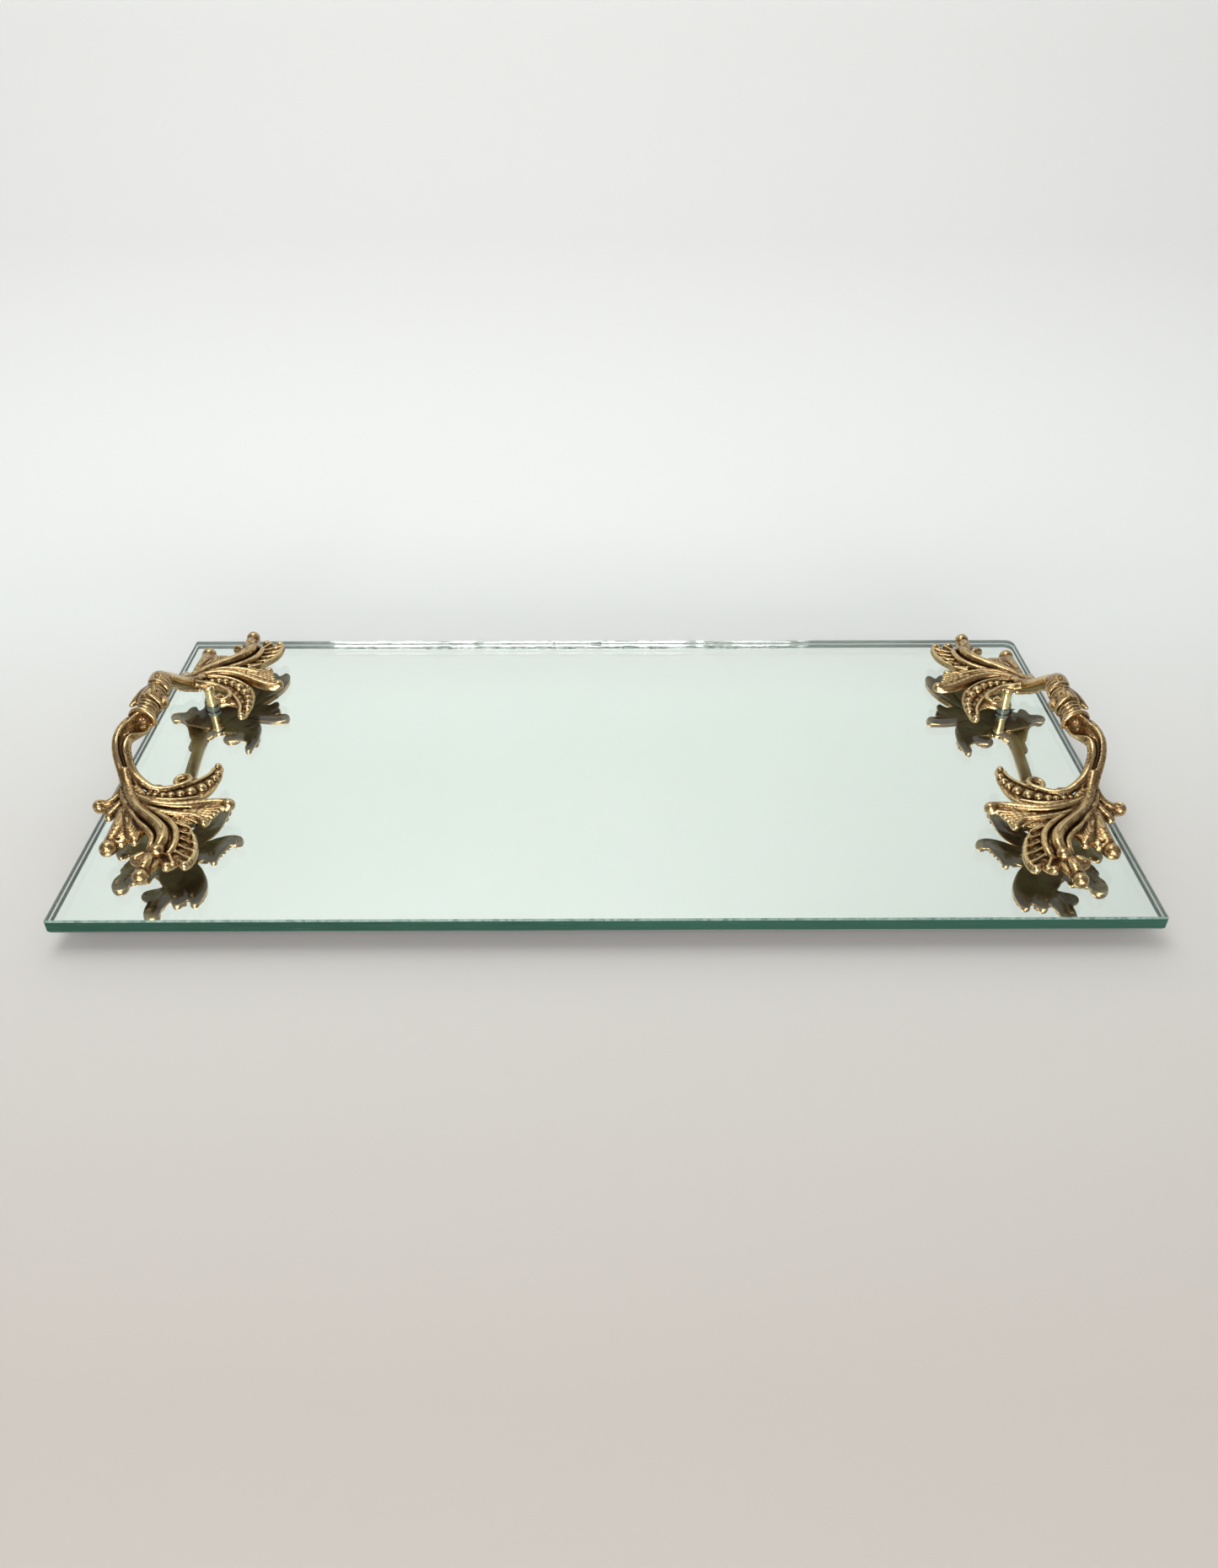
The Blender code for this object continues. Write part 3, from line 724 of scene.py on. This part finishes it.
    # the scallop shell round the tongue: pits between thin walls, inside a beaded rim
    rim = [(-15.4, 65.2), (-19.6, 68), (-23, 72.2), (-25.6, 77), (-27.2, 82), (-27.7, 87), (-26.8, 91.2)]
    rib([(u, s, 0.5, 1) for u, s in rim], 0.3)
    hinge = ((-14.8, 66.6), (-16.4, 71), (-17.6, 75.4), (-18.2, 79.6), (-18.4, 83.6), (-18, 87.4))
    tips = ((-20.6, 69.2), (-24, 74), (-26.2, 79.4), (-27.3, 84.4), (-27.2, 89.4), (-20.6, 92))
    for (u0, s0), (u1, s1) in zip(hinge, tips):
        rib([(u0, s0, 1, 0.8), ((u0 + u1) / 2, (s0 + s1) / 2, 0.9, 0.7), (u1, s1, 0.6, 1.2)], 0.2)
    for i in range(5):
        (u0, s0), (u1, s1), (u2, s2), (u3, s3) = hinge[i], hinge[i + 1], tips[i], tips[i + 1]
        near_u, near_s, far_u, far_s = (u0 + u1) / 2, (s0 + s1) / 2, (u2 + u3) / 2, (s2 + s3) / 2
        groove([
            (0.65 * near_u + 0.35 * far_u, 0.65 * near_s + 0.35 * far_s, 1.5, 1.1),
            (0.3 * near_u + 0.7 * far_u, 0.3 * near_s + 0.7 * far_s, 1.7, 1.75),
        ])
        bead_u, bead_s = 0.04 * near_u + 0.96 * far_u, 0.04 * near_s + 0.96 * far_s
        ball(bead_u, bead_s, dome(far_u, far_s) - 0.1, 1.25, 0.3)
    ball(-25.4, 92.4, 7.9, 2.0)
    ball(-18.2, 93.2, 8.0, 2.0)

    # the tongue: a round ridge between two flanking rails, ending in a ball
    rod([
        (13.7, 39.2, 18.2, 2.2), (11.6, 44.4, 14.9, 2.3), (8.6, 51.1, 13.3, 2.3), (3.5, 58.7, 12.8, 2.3),
        (-2.6, 64.7, 12.7, 2.3), (-7.9, 69.7, 12.6, 2.4), (-11.7, 74.4, 12.4, 2.6), (-13.5, 79.3, 12.1, 2.6),
        (-13.2, 82.6, 11.2, 2.5),
    ], 0.25)
    ball(-12.3, 85.2, 9.8, 3.5)
    rod([
        (13.4, 46, 13, 1.7), (11.8, 51.4, 12, 1.7), (6.8, 59.4, 11.4, 1.7), (1, 67.2, 11.1, 1.7),
        (-4.2, 72, 10.9, 1.6), (-7.8, 76.6, 10.5, 1.6), (-8.6, 80.6, 10, 1.5), (-8.5, 83.4, 9.5, 1.4),
    ], 0.25)
    rod([
        (9.8, 44.6, 13.2, 1.3), (3.6, 53.3, 11.9, 1.4), (-4.8, 60.9, 11.6, 1.5), (-11.2, 65.8, 11.3, 1.6),
        (-16.2, 71.8, 11, 1.6), (-18.2, 78.6, 10.4, 1.6), (-18.2, 83.6, 9.8, 1.5), (-17, 86.6, 9, 1.3),
    ], 0.25)

    # the end leaf: a swollen blade with side lobes and a ball behind a ring
    rib([(-10.8, 86.4, 0.6, 2.2), (-9.8, 91.6, 0.8, 2.9), (-9.5, 95.6, 0.4, 2.6)], 0.5)
    rib([(-6.4, 86.4, 0.6, 1.4), (-4, 88.2, 0.3, 1.6), (-2.8, 88.2, 0, 1.5)])
    groove([(-7.6, 89.4, 1.8, 0.5), (-6.8, 93, 1.2, 0.5), (-6.9, 96, 0.9, 0.4)])
    groove([(-12, 89.6, 1.8, 0.5), (-12.6, 93, 1.2, 0.5), (-12.3, 96, 0.9, 0.4)])
    ball(-9.4, 99.8, 8.0, 3.5)
    groove([
        (-13.2, 96.4, -0.2, 0.6), (-11.2, 97, 2.2, 0.6), (-7.6, 97, 2.2, 0.6), (-5.6, 96.4, -0.2, 0.6),
    ], 0.25)

    # the outer leaf: a broad smooth blade with an incised vein, a side lobe, and a ball behind a ring
    rib([(10.4, 58, 0.2, 2.2), (9.2, 64.5, 0.2, 3.2), (8.8, 70.5, 0.2, 3.5), (9.7, 77, 0, 3)], 1.0)
    rib([(6, 66, 0.2, 2.4), (3.8, 71, 0.1, 2.7), (1.4, 75, 0, 2.1)], 1.0)
    groove([(8.4, 62, 3, 0.5), (6.4, 68, 3, 0.55), (5, 73.4, 2.4, 0.5), (4.4, 77.6, 1.6, 0.5)])
    groove([(3.4, 66, 2.1, 0.5), (0.4, 70.4, 1.7, 0.5), (-1.2, 73.4, 1.2, 0.4)])
    ball(12, 70.4, 8.2, 1.6, 0.6)
    ball(-0.2, 76.9, 8.2, 1.6, 0.6)
    ball(4.9, 78.2, 8.3, 1.4, 0.5)
    ball(9.9, 81.4, 8.2, 3.7)
    groove([
        (5.8, 77.2, 0.2, 0.6), (8.2, 77.6, 3.1, 0.6), (11.4, 77.6, 3.1, 0.6), (13.8, 77.2, 0.2, 0.6),
    ], 0.25)

    # the spur beside the arm: a horn with a hollow curl, and a smaller lobe
    rib([(13.8, 43.4, 4.8, 1.7), (15.8, 48.4, 1.8, 1.8), (18.8, 51.4, 0.8, 1.9), (21.8, 52.2, 0.4, 2)], 0.5)
    rib([(12.4, 52, 1.4, 1.5), (14.4, 56.4, 0.6, 1.6), (16, 59.4, 0.2, 1.6)], 0.5)
    groove([(14.6, 50.4, 1.9, 0.6), (16.8, 54, 1.2, 0.6), (19.6, 55.4, 0.7, 0.5)])
    ball(23.1, 52.2, 8.4, 3.2)
    groove([(21.2, 51.6, 2.6, 0.9), (22.6, 52.4, 3.2, 1.2)])
    ball(16.4, 60.2, 8.4, 1.9)

    # a smooth hollow underside
    cells, u, v, h = clay.window((-38, -105, 3), (28, 105, 12))
    sides = np.broadcast_to(toward * v < 31, clay.field[cells].shape)
    hollow = np.where(sides, clay.FAR, h - dome(u, toward * v) + LEAF_DEPTH)
    clay.carve(cells, hollow, 0.6)

    # the pad that the post meets, with the screw's hole
    low, high = (-6, toward * POST_V - 6, PULL_SEAT - 6), (6, toward * POST_V + 6, PULL_SEAT + 8)
    cells, u, v, h = clay.window(low, high)
    round_post = np.sqrt(u**2 + (v - toward * POST_V) ** 2)
    clay.merge(cells, np.maximum(round_post - PAD_RADIUS, np.abs(h - PULL_SEAT - 1) - 1.2), 0.5)
    clay.carve(cells, np.maximum(round_post - POST_CLEARANCE, h - PULL_SEAT), 0.2)
    clay.carve(cells, np.maximum(round_post - SCREW_BORE, h - SCREW_TIP - GAP / MM), 0.1)


def model_bail(clay):
    """The two arms and the grip between them."""
    # front arm: its floor, then an outer and an inner rail with a groove between them
    clay.add_rod([
        (11.2, -11, 28.6, 5.4), (12.3, -16.4, 28, 5.1), (14.4, -21, 27.5, 4.2), (16.2, -25.6, 26.8, 3.1),
        (16.8, -30.6, 24.6, 2.3), (15.2, -35.4, 21, 2.2), (12.6, -40, 16.8, 2.1), (9.4, -44.4, 13.6, 2.2),
        (5, -49, 12, 2.4),
    ], 0.5)
    clay.add_rod([
        (16.2, -13.4, 29.4, 1.9), (17.4, -18, 29.6, 2.2), (18.3, -22.6, 29, 2.4), (18.6, -28, 27.4, 2.4),
        (18, -32.6, 24.2, 2.3), (16.6, -36.4, 20.8, 2.2), (14.8, -40.2, 17, 2.1), (12.9, -44.8, 14.2, 2),
    ], 0.5)
    clay.add_rod([
        (9.4, -17.6, 25.4, 1.3), (12.2, -21.4, 25.8, 1.8), (14.2, -24.8, 26.2, 2.2), (15, -28, 26, 2.4),
        (14.6, -31.8, 23.8, 2.4), (12.8, -35.6, 20, 2.2), (9.8, -39.6, 16.4, 2.1), (5.4, -42.8, 13.9, 2),
    ], 0.4)
    # back arm: a round stem, split by a slot where it leaves the grip
    clay.add_rod([
        (13.4, 21, 28.4, 3.5), (13, 26.4, 26.8, 3.3), (12, 31.2, 23.4, 3.2), (10.4, 35.8, 19.2, 3.1),
        (8.9, 40.2, 15.8, 3.1), (6.8, 45, 13.4, 3), (4.4, 49.6, 12.2, 2.6),
    ], 0.5)
    clay.cut_rod([
        (12.3, 22.4, 30, 1.6), (12, 25, 28.5, 1.6), (11.1, 29.6, 25, 1.4), (9.7, 34.2, 20.6, 1.1),
        (8.2, 38, 17.2, 0.5),
    ], 0.3)

    # the grip: three husks, ridged on the inside, each tucked behind the lip of the one before
    husks = (
        [(13.6, 24, 28.6, 3.4), (13.3, 20, 29.4, 4.9), (12.4, 15.6, 29.8, 4.9), (11.8, 12, 29.6, 4.5)],
        [(12.4, 12, 29.6, 4.2), (12.3, 6, 29.4, 5.2), (12.2, 0.6, 29.2, 5.7)],
        [(11.7, -1, 29.2, 4.6), (11.5, -6, 29, 4.9), (11.3, -11.6, 28.8, 5.4)],
    )
    for husk in husks:
        clay.add_rod(husk, 0.35)
    # (v, reach, bead radius, first and last angle round the husk, measured from outward over the top)
    ridges = (
        (18.8, 5, 0.6, 90, 240), (15.8, 5.2, 0.7, 85, 240), (12.8, 5.4, 0.9, 50, 250),
        (9.2, 5, 0.8, 80, 240), (6.2, 5.3, 0.6, 95, 240), (-1, 5.9, 0.9, 60, 245), (-4.2, 5.3, 0.7, 60, 245),
        (-7, 5.4, 0.7, 50, 245), (-9.8, 5.6, 0.6, 70, 245),
    )
    for v, reach, radius, first, last in ridges:
        arc_rod(clay, 12.2 + 0.02 * v, v, reach, radius, first, last)
    # nose on the inner side, and the two pointed scales on the outer side
    clay.add_rod([(8.8, 5.8, 28.8, 2.4), (6.8, 2.8, 28.2, 2.6), (5.6, 0.4, 27.8, 2.2)], 0.5)
    clay.add_rod([
        (14.6, 10.5, 30.4, 2.6), (16.4, 6.4, 30.3, 2.7), (18.6, 2.4, 29.4, 2.1), (21.3, -0.8, 28.2, 0.8),
    ], 0.7)
    clay.add_rod([(15.6, 23, 29, 2.4), (16.6, 19.4, 29.4, 2.2), (16, 15, 29.4, 1.8)], 0.7)
    for u, v, h, r in (
        (10.6, 10.6, 34.4, 0.8), (12.8, 8.4, 34.4, 1), (8.2, 4, 33.2, 0.7), (12, -1.2, 35, 0.7),
    ):
        clay.cut_rod([(u, v, h, r), (u + 1.6, v - 0.6, h - 0.2, 0.6 * r)], 0.3)
    clay.cut_rod([(16.6, -2.2, 31.8, 0.8), (19, -4, 30, 1), (20.2, -5, 27.6, 1.1)], 0.4)
    # the scoop that the front arm flares into, under an arched lip that ends in a point
    clay.cut_rod([
        (10, -18.4, 31.2, 4.9), (12.2, -21, 31.8, 4.2), (14.6, -24, 31.2, 2.8), (16.3, -27.6, 29.2, 1.6),
        (16.5, -31.8, 26.2, 1), (15, -36, 22.6, 0.85), (12.4, -40.4, 18, 0.8), (8.8, -45, 15.2, 0.7),
    ], 0.4)
    arc_rod(clay, 11.3, -13.6, 5.9, 1.1, 5, 200, even=True)
    clay.add_rod([(6.2, -14.6, 29.6, 1.2), (5.4, -15, 27.9, 1.1), (5.1, -15.3, 26.6, 0.6)], 0.4)


def arc_rod(clay, centre_u, v, reach, radius, first, last, even=False):
    """A bead that wraps a husk, nearer the front on its inner side; it thins to its ends unless even."""
    slant = 0.22
    hoop = []
    for turn in np.radians(np.arange(first, last + 1, 12)):
        across = reach * math.cos(turn)
        share = (math.degrees(turn) - first) / (last - first)
        swell = 1 if even else 0.55 + 0.45 * math.sin(math.pi * share)
        height = GRIP_HEIGHT + 0.92 * reach * math.sin(turn)
        hoop.append((centre_u + across, v + slant * across, height, radius * swell))
    clay.add_rod(hoop, 0.25)


def casting_mesh():
    """One pull in its own frame, as points in millimetres, faces, and how far each point stands proud."""
    clay = Clay((-39, -106, 3.4), (29, 106, 39), CLAY_STEP)
    model_bail(clay)
    for toward in (-1, 1):
        model_cluster(clay, toward)
    points, triangles, quads = clay.surface()
    passes = (FINE_STEP / CLAY_STEP) ** 2
    fine = blurred(clay.field, max(1, round(3 * passes)))
    coarse = blurred(clay.field, max(2, round(10 * passes)))
    proud = 1.1 * clay.sample(fine, points) + 0.8 * clay.sample(coarse, points)
    return points, [*triangles.tolist(), *quads.tolist()], proud


# ---- pieces


def add_piece(name, mesh, slot, *nodes):
    """Puts a piece on the tray's body in place of CAD nodes."""
    piece = bpy.data.objects.new(name, mesh)
    bpy.context.scene.collection.objects.link(piece)
    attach(piece, "root")
    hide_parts(*nodes)


def make_pulls(finish):
    """Both castings: the right one as modelled, the left one its mirror image."""
    points, faces, proud = casting_mesh()
    for side, outward in SIDES.items():
        front, back = middle(f"post_{side}_front"), middle(f"post_{side}_back")
        centre = (front + back) / 2
        placed = points * (outward * MM, MM, MM) + (centre.x, centre.y, GLASS_TOP)
        order = faces if outward > 0 else [face[::-1] for face in faces]
        mesh = bpy.data.meshes.new(f"pull_{side}")
        mesh.from_pydata(placed.tolist(), [], order)
        mesh.update()
        relief = mesh.attributes.new("relief", "FLOAT", "POINT")
        relief.data.foreach_set("value", np.clip(0.5 + proud, 0, 1).astype(np.float32))
        mesh.shade_smooth()
        mesh.materials.append(finish)
        add_piece(f"pull_{side}", mesh, "antique_brass", f"handle_{side}")


def finish_mesh(bm, name, *finishes, crisp=32):
    """A mesh from bm with outward normals, and corners sharp beyond the angle crisp."""
    bmesh.ops.remove_doubles(bm, verts=bm.verts, dist=0.002 * MM)
    bmesh.ops.recalc_face_normals(bm, faces=bm.faces)
    mesh = bpy.data.meshes.new(name)
    bm.to_mesh(mesh)
    bm.free()
    mesh.shade_smooth()
    mesh.set_sharp_from_angle(angle=math.radians(crisp))
    for finish in finishes:
        mesh.materials.append(finish)
    return mesh


def plate_outline(inset):
    """Points round the plate, anticlockwise; inset is a width, or a function of the place that gives one."""
    outline = []
    corners = (
        (glass_high.x, glass_low.y, -90, CORNER_RADIUS),
        (glass_high.x, glass_high.y, 0, BACK_RIGHT_CORNER_RADIUS),
        (glass_low.x, glass_high.y, 90, CORNER_RADIUS),
        (glass_low.x, glass_low.y, 180, CORNER_RADIUS),
    )
    for x, y, first, radius in corners:
        centre = Vector((x - math.copysign(radius, x), y - math.copysign(radius, y)))
        for t in range(0, 91, 15):
            turn = math.radians(first + t)
            outline.append((centre, Vector((math.cos(turn), math.sin(turn))), radius))
    path = []
    for i, (centre, outward, radius) in enumerate(outline):
        path.append((centre + outward * radius, outward))
        following, next_outward, next_radius = outline[(i + 1) % len(outline)]
        end = following + next_outward * next_radius
        start = path[-1][0]
        if (end - start).length > 50 * MM:
            count = round((end - start).length / (1.4 * MM))
            path += [(start.lerp(end, k / count), outward) for k in range(1, count)]
    return [place - outward * (inset(place) if callable(inset) else inset) for place, outward in path]


def bridge(bm, lower, upper, material=0):
    """Joins two rings of the same count."""
    for i in range(len(lower)):
        j = (i + 1) % len(lower)
        bm.faces.new((lower[i], lower[j], upper[j], upper[i])).material_index = material


def fill(bm, *rings):
    """A flat face inside the first ring and outside the others."""
    edges = []
    for ring in rings:
        for i in range(len(ring)):
            pair = (ring[i], ring[(i + 1) % len(ring)])
            edges.append(bm.edges.get(pair) or bm.edges.new(pair))
    bmesh.ops.triangle_fill(bm, edges=edges, use_beauty=True, use_dissolve=False)


def ring_at(bm, outline, z):
    """New vertices along an outline at one height."""
    return [bm.verts.new((x, y, z)) for x, y in outline]


def circle(centre, radius, count=40):
    """Points (x, y) round a centre."""
    turns = [math.tau * i / count for i in range(count)]
    return [(centre.x + radius * math.cos(t), centre.y + radius * math.sin(t)) for t in turns]


def hardware(kind):
    """Each node of a kind of hardware, with its box's lowest and highest corners."""
    for side in SIDES:
        for end in ENDS:
            node = f"{kind}_{side}_{end}"
            yield node, *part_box(node)


def add_turned(prefix, node, profile, segments, slot, finish):
    """A piece turned about the middle of the node that it stands for."""
    bm = bmesh.new()
    lathe(bm, profile, middle(node), segments)
    add_piece(f"{prefix}_{node}", finish_mesh(bm, node, finish), slot, node)


def nicks(start, end, seed):
    """The width of the arris, which is chipped along a stretch of the back edge."""
    chance = np.random.default_rng(seed)
    lows, highs = (start, 1.5 * MM, 0.3 * MM), (end, 5 * MM, 1 * MM)
    marks = [chance.uniform(lows, highs) for _ in range(60)]

    def width(place):
        if place.y < glass_high.y - 10 * MM:
            return ARRIS
        return ARRIS + max(depth * max(0, 1 - ((place.x - x) / reach) ** 2) for x, reach, depth in marks)

    return width


def make_glass(clear, edge, arris):
    """The plate: clear faces, dark ground sides, narrow bevels, and a drilled hole for each screw."""
    side_slot, bevel_slot = 1, 2
    bm = bmesh.new()
    flat = plate_outline(0)
    chipped = plate_outline(nicks(CHIPPED_FROM, CHIPPED_TO, 5))
    low_face = ring_at(bm, plate_outline(LOWER_ARRIS), GLASS_BOTTOM)
    low_side = ring_at(bm, flat, GLASS_BOTTOM + LOWER_ARRIS)
    high_side = ring_at(bm, flat, GLASS_TOP - ARRIS)
    high_face = ring_at(bm, chipped, GLASS_TOP)
    bridge(bm, low_face, low_side, bevel_slot)
    bridge(bm, low_side, high_side, side_slot)
    bridge(bm, high_side, high_face, bevel_slot)
    low_holes, high_holes = [], []
    for node, _, _ in hardware("post"):
        outline = circle(middle(node), GLASS_HOLE)
        low_holes.append(ring_at(bm, outline, GLASS_BOTTOM))
        high_holes.append(ring_at(bm, outline, GLASS_TOP))
        bridge(bm, low_holes[-1], high_holes[-1], bevel_slot)
    fill(bm, low_face, *low_holes)
    fill(bm, high_face, *high_holes)
    mesh = finish_mesh(bm, "glass_plate", clear, edge, arris, crisp=8)
    add_piece("glass_plate", mesh, "glass", "mirror_glass")


def chipped_hole(centre, seed):
    """Where the silver has flaked round a screw hole: an uneven, angular outline."""
    chance = np.random.default_rng(seed)
    count = 26
    reach = chance.uniform(4.3, 4.9, count) * MM
    for _ in range(3):
        reach[chance.integers(count)] += chance.uniform(0.9, 1.7) * MM
    turns = [math.tau * (i + chance.uniform(-0.25, 0.25)) / count for i in range(count)]
    return [(centre.x + r * math.cos(t), centre.y + r * math.sin(t)) for r, t in zip(reach, turns)]


def make_layer(name, inset, low, high, holes, finish):
    """A thin sheet behind the glass."""
    bm = bmesh.new()
    outlines = [plate_outline(inset), *holes]
    rings = [[ring_at(bm, outline, z) for outline in outlines] for z in (low, high)]
    for below, above in zip(*rings):
        bridge(bm, below, above)
    for level in rings:
        fill(bm, *level)
    return finish_mesh(bm, name, finish)


def make_backing(silver, paint):
    """The silver, flaked at the screw holes, and the paint that guards it."""
    centres = [middle(node) for node, _, _ in hardware("post")]
    flaked = [chipped_hole(centre, 11 + i) for i, centre in enumerate(centres)]
    drilled = [circle(centre, PAINT_HOLE) for centre in centres]
    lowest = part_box("silver_backing")[0].z
    split = GLASS_BOTTOM - 0.12 * MM
    hair = 0.02 * MM
    silver_mesh = make_layer("silver_coat", SILVER_INSET, split, GLASS_BOTTOM - hair, flaked, silver)
    add_piece("silver_coat", silver_mesh, "silvering", "silver_backing")
    paint_mesh = make_layer("back_paint", PAINT_INSET, lowest, split - hair, drilled, paint)
    add_piece("back_paint", paint_mesh, "silvering", "silver_backing")


def lathe(bm, profile, centre, segments):
    """Turns a profile of (radius, z) about centre; it closes on itself unless both ends are on the axis."""
    rings = []
    for r, z in profile:
        on_axis = r < 1e-7
        rings.append(ring_at(bm, [centre.xy] if on_axis else circle(centre, r, segments), z))
    pairs = list(zip(rings, rings[1:]))
    if len(rings[0]) > 1:
        pairs.append((rings[-1], rings[0]))
    for lower, upper in pairs:
        for i in range(segments):
            j = (i + 1) % segments
            if len(lower) == 1:
                bm.faces.new((lower[0], upper[j], upper[i]))
            elif len(upper) == 1:
                bm.faces.new((lower[i], lower[j], upper[0]))
            else:
                bm.faces.new((lower[i], lower[j], upper[j], upper[i]))


def rounded(points, radius, steps=4):
    """A closed profile of (radius, z) points in metres with its corners eased."""
    eased = []
    for i, point in enumerate(points):
        before, here, after = Vector(points[i - 1]), Vector(point), Vector(points[(i + 1) % len(points)])
        ease = min(radius, (before - here).length / 2.1, (after - here).length / 2.1)
        first = here + (before - here).normalized() * ease
        last = here + (after - here).normalized() * ease
        for k in range(steps + 1):
            t = k / steps
            eased.append(tuple(first * (1 - t) ** 2 + here * 2 * t * (1 - t) + last * t**2))
    return eased


def make_posts(finish):
    """Turned posts, relieved between two collars, with a bore for the screw."""
    collar, waist, relief = 0.9 * MM, 1.2 * MM, 0.25 * MM
    for node, low, high in hardware("post"):
        r = (high.x - low.x) / 2
        half = [(r - POST_WALL, 0), (r, 0), (r, collar), (r - relief, waist)]
        outline = [(x, low.z + z) for x, z in half] + [(x, high.z - z) for x, z in reversed(half)]
        add_turned("turned", node, rounded(outline, 0.22 * MM, 3), 64, "bright_brass", finish)


def make_rings(kind, slot, ease, finish):
    """Washers of one kind under every post."""
    for node, low, high in hardware(kind):
        r = (high.x - low.x) / 2
        outline = [(WASHER_HOLE, low.z), (r, low.z), (r, high.z), (WASHER_HOLE, high.z)]
        add_turned("pressed", node, rounded(outline, ease), 56, slot, finish)


def thread_mesh(bm, centre, low, high, crest):
    """A threaded shank: a grid whose radius follows a helix, closed by flat ends."""
    segments, rows_per_turn = 24, 5
    depth, run_out, tip_taper = 0.26 * MM, 1.2 * MM, 0.35 * MM
    count = round((high - low) / THREAD_PITCH * rows_per_turn)
    rings = []
    for k in range(count + 1):
        z = low + (high - low) * k / count
        ring = []
        for i in range(segments):
            turn = math.tau * i / segments
            phase = (z / THREAD_PITCH - i / segments) % 1
            lead = min(1, (high - z) / run_out)
            r = crest - depth * abs(2 * phase - 1) - tip_taper * (1 - lead)
            ring.append((centre.x + r * math.cos(turn), centre.y + r * math.sin(turn)))
        rings.append(ring_at(bm, ring, z))
    for lower, upper in zip(rings, rings[1:]):
        bridge(bm, lower, upper)
    bm.faces.new(rings[0][::-1])
    bm.faces.new(rings[-1])


def make_screws(finish):
    """Slotted pan-head screws, up through the plate and the post into the casting."""
    rise, rim, slot_depth = 1.5 * MM, 0.15 * MM, 0.95 * MM
    for node, low, high in hardware("screw"):
        centre = middle(node)
        r = (high.x - low.x) / 2
        head_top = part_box(node.replace("screw", "washer"))[0].z - GAP
        profile = []
        for turn in np.radians(np.arange(0, 91, 10)).tolist():
            profile.append((r * math.sin(turn), low.z + rise * (1 - math.cos(turn))))
        profile += [(r, head_top - rim), (r - rim, head_top), (0, head_top)]
        bm = bmesh.new()
        lathe(bm, profile, centre, 48)
        head = finish_mesh(bm, node, finish)
        _, side, end = node.split("_")
        turned = Matrix.Rotation(0.7 + 0.9 * len(side) + 0.5 * len(end), 4, "Z")
        placed = Matrix.Translation((centre.x, centre.y, low.z)) @ turned
        size = Matrix.Diagonal((2.4 * r, SLOT_WIDTH, 2 * slot_depth, 1))
        slot_cut = bmesh.new()
        bmesh.ops.create_cube(slot_cut, size=1, matrix=placed @ size)
        whole = bmesh.new()
        whole.from_mesh(subtract(head, finish_mesh(slot_cut, "slot"), node))
        thread_mesh(whole, centre, head_top - 0.1 * MM, high.z, SCREW_RADIUS)
        add_piece(f"slotted_{node}", finish_mesh(whole, node, finish), "steel", node)


def subtract(mesh, cutter_mesh, name):
    """The first mesh with the second cut out of it."""
    blank = bpy.data.objects.new(f"{name}_blank", mesh)
    tool = bpy.data.objects.new(f"{name}_tool", cutter_mesh)
    for made in (blank, tool):
        bpy.context.scene.collection.objects.link(made)
    cut = blank.modifiers.new("cut", "BOOLEAN")
    cut.operation = "DIFFERENCE"
    cut.object = tool
    result = bpy.data.meshes.new_from_object(blank.evaluated_get(bpy.context.evaluated_depsgraph_get()))
    for made in (blank, tool):
        bpy.data.objects.remove(made)
    return result


def make_feet(finish):
    """Moulded bumpers with a dished, ringed sole."""
    ease = 2.2 * MM
    for node, low, high in hardware("foot"):
        r = (high.x - low.x) / 2
        outline = [(0, 0), (r - 0.4 * MM, 0), (r, 0.5 * MM), (r - 0.3 * MM, 2.4 * MM)]
        outline = [(x, high.z - z) for x, z in outline]
        for turn in np.radians(np.arange(0, 91, 10)).tolist():
            across = r - ease + 1.9 * MM * math.cos(turn)
            outline.append((across, low.z + ease * (1 - math.sin(turn))))
        sole = ((0.62, 0), (0.58, 0.35), (0.42, 0.45), (0.38, 0.1), (0.3, 0.1), (0.26, 0.8), (0, 0.9))
        outline += [(x * r, low.z + z * MM) for x, z in sole]
        add_turned("moulded", node, outline, 64, "rubber", finish)


make_camera()
make_lights()
make_stage()
make_pulls(cast_brass())
make_glass(clear_glass(), glass_edge(), glass_arris())
make_backing(silvering(), backing_paint())
make_posts(bright_brass())
make_rings("washer", "steel", 0.25 * MM, plated_steel())
make_rings("fibre_washer", "fibre", 0.15 * MM, red_fibre())
make_screws(plated_steel())
make_feet(foot_rubber())
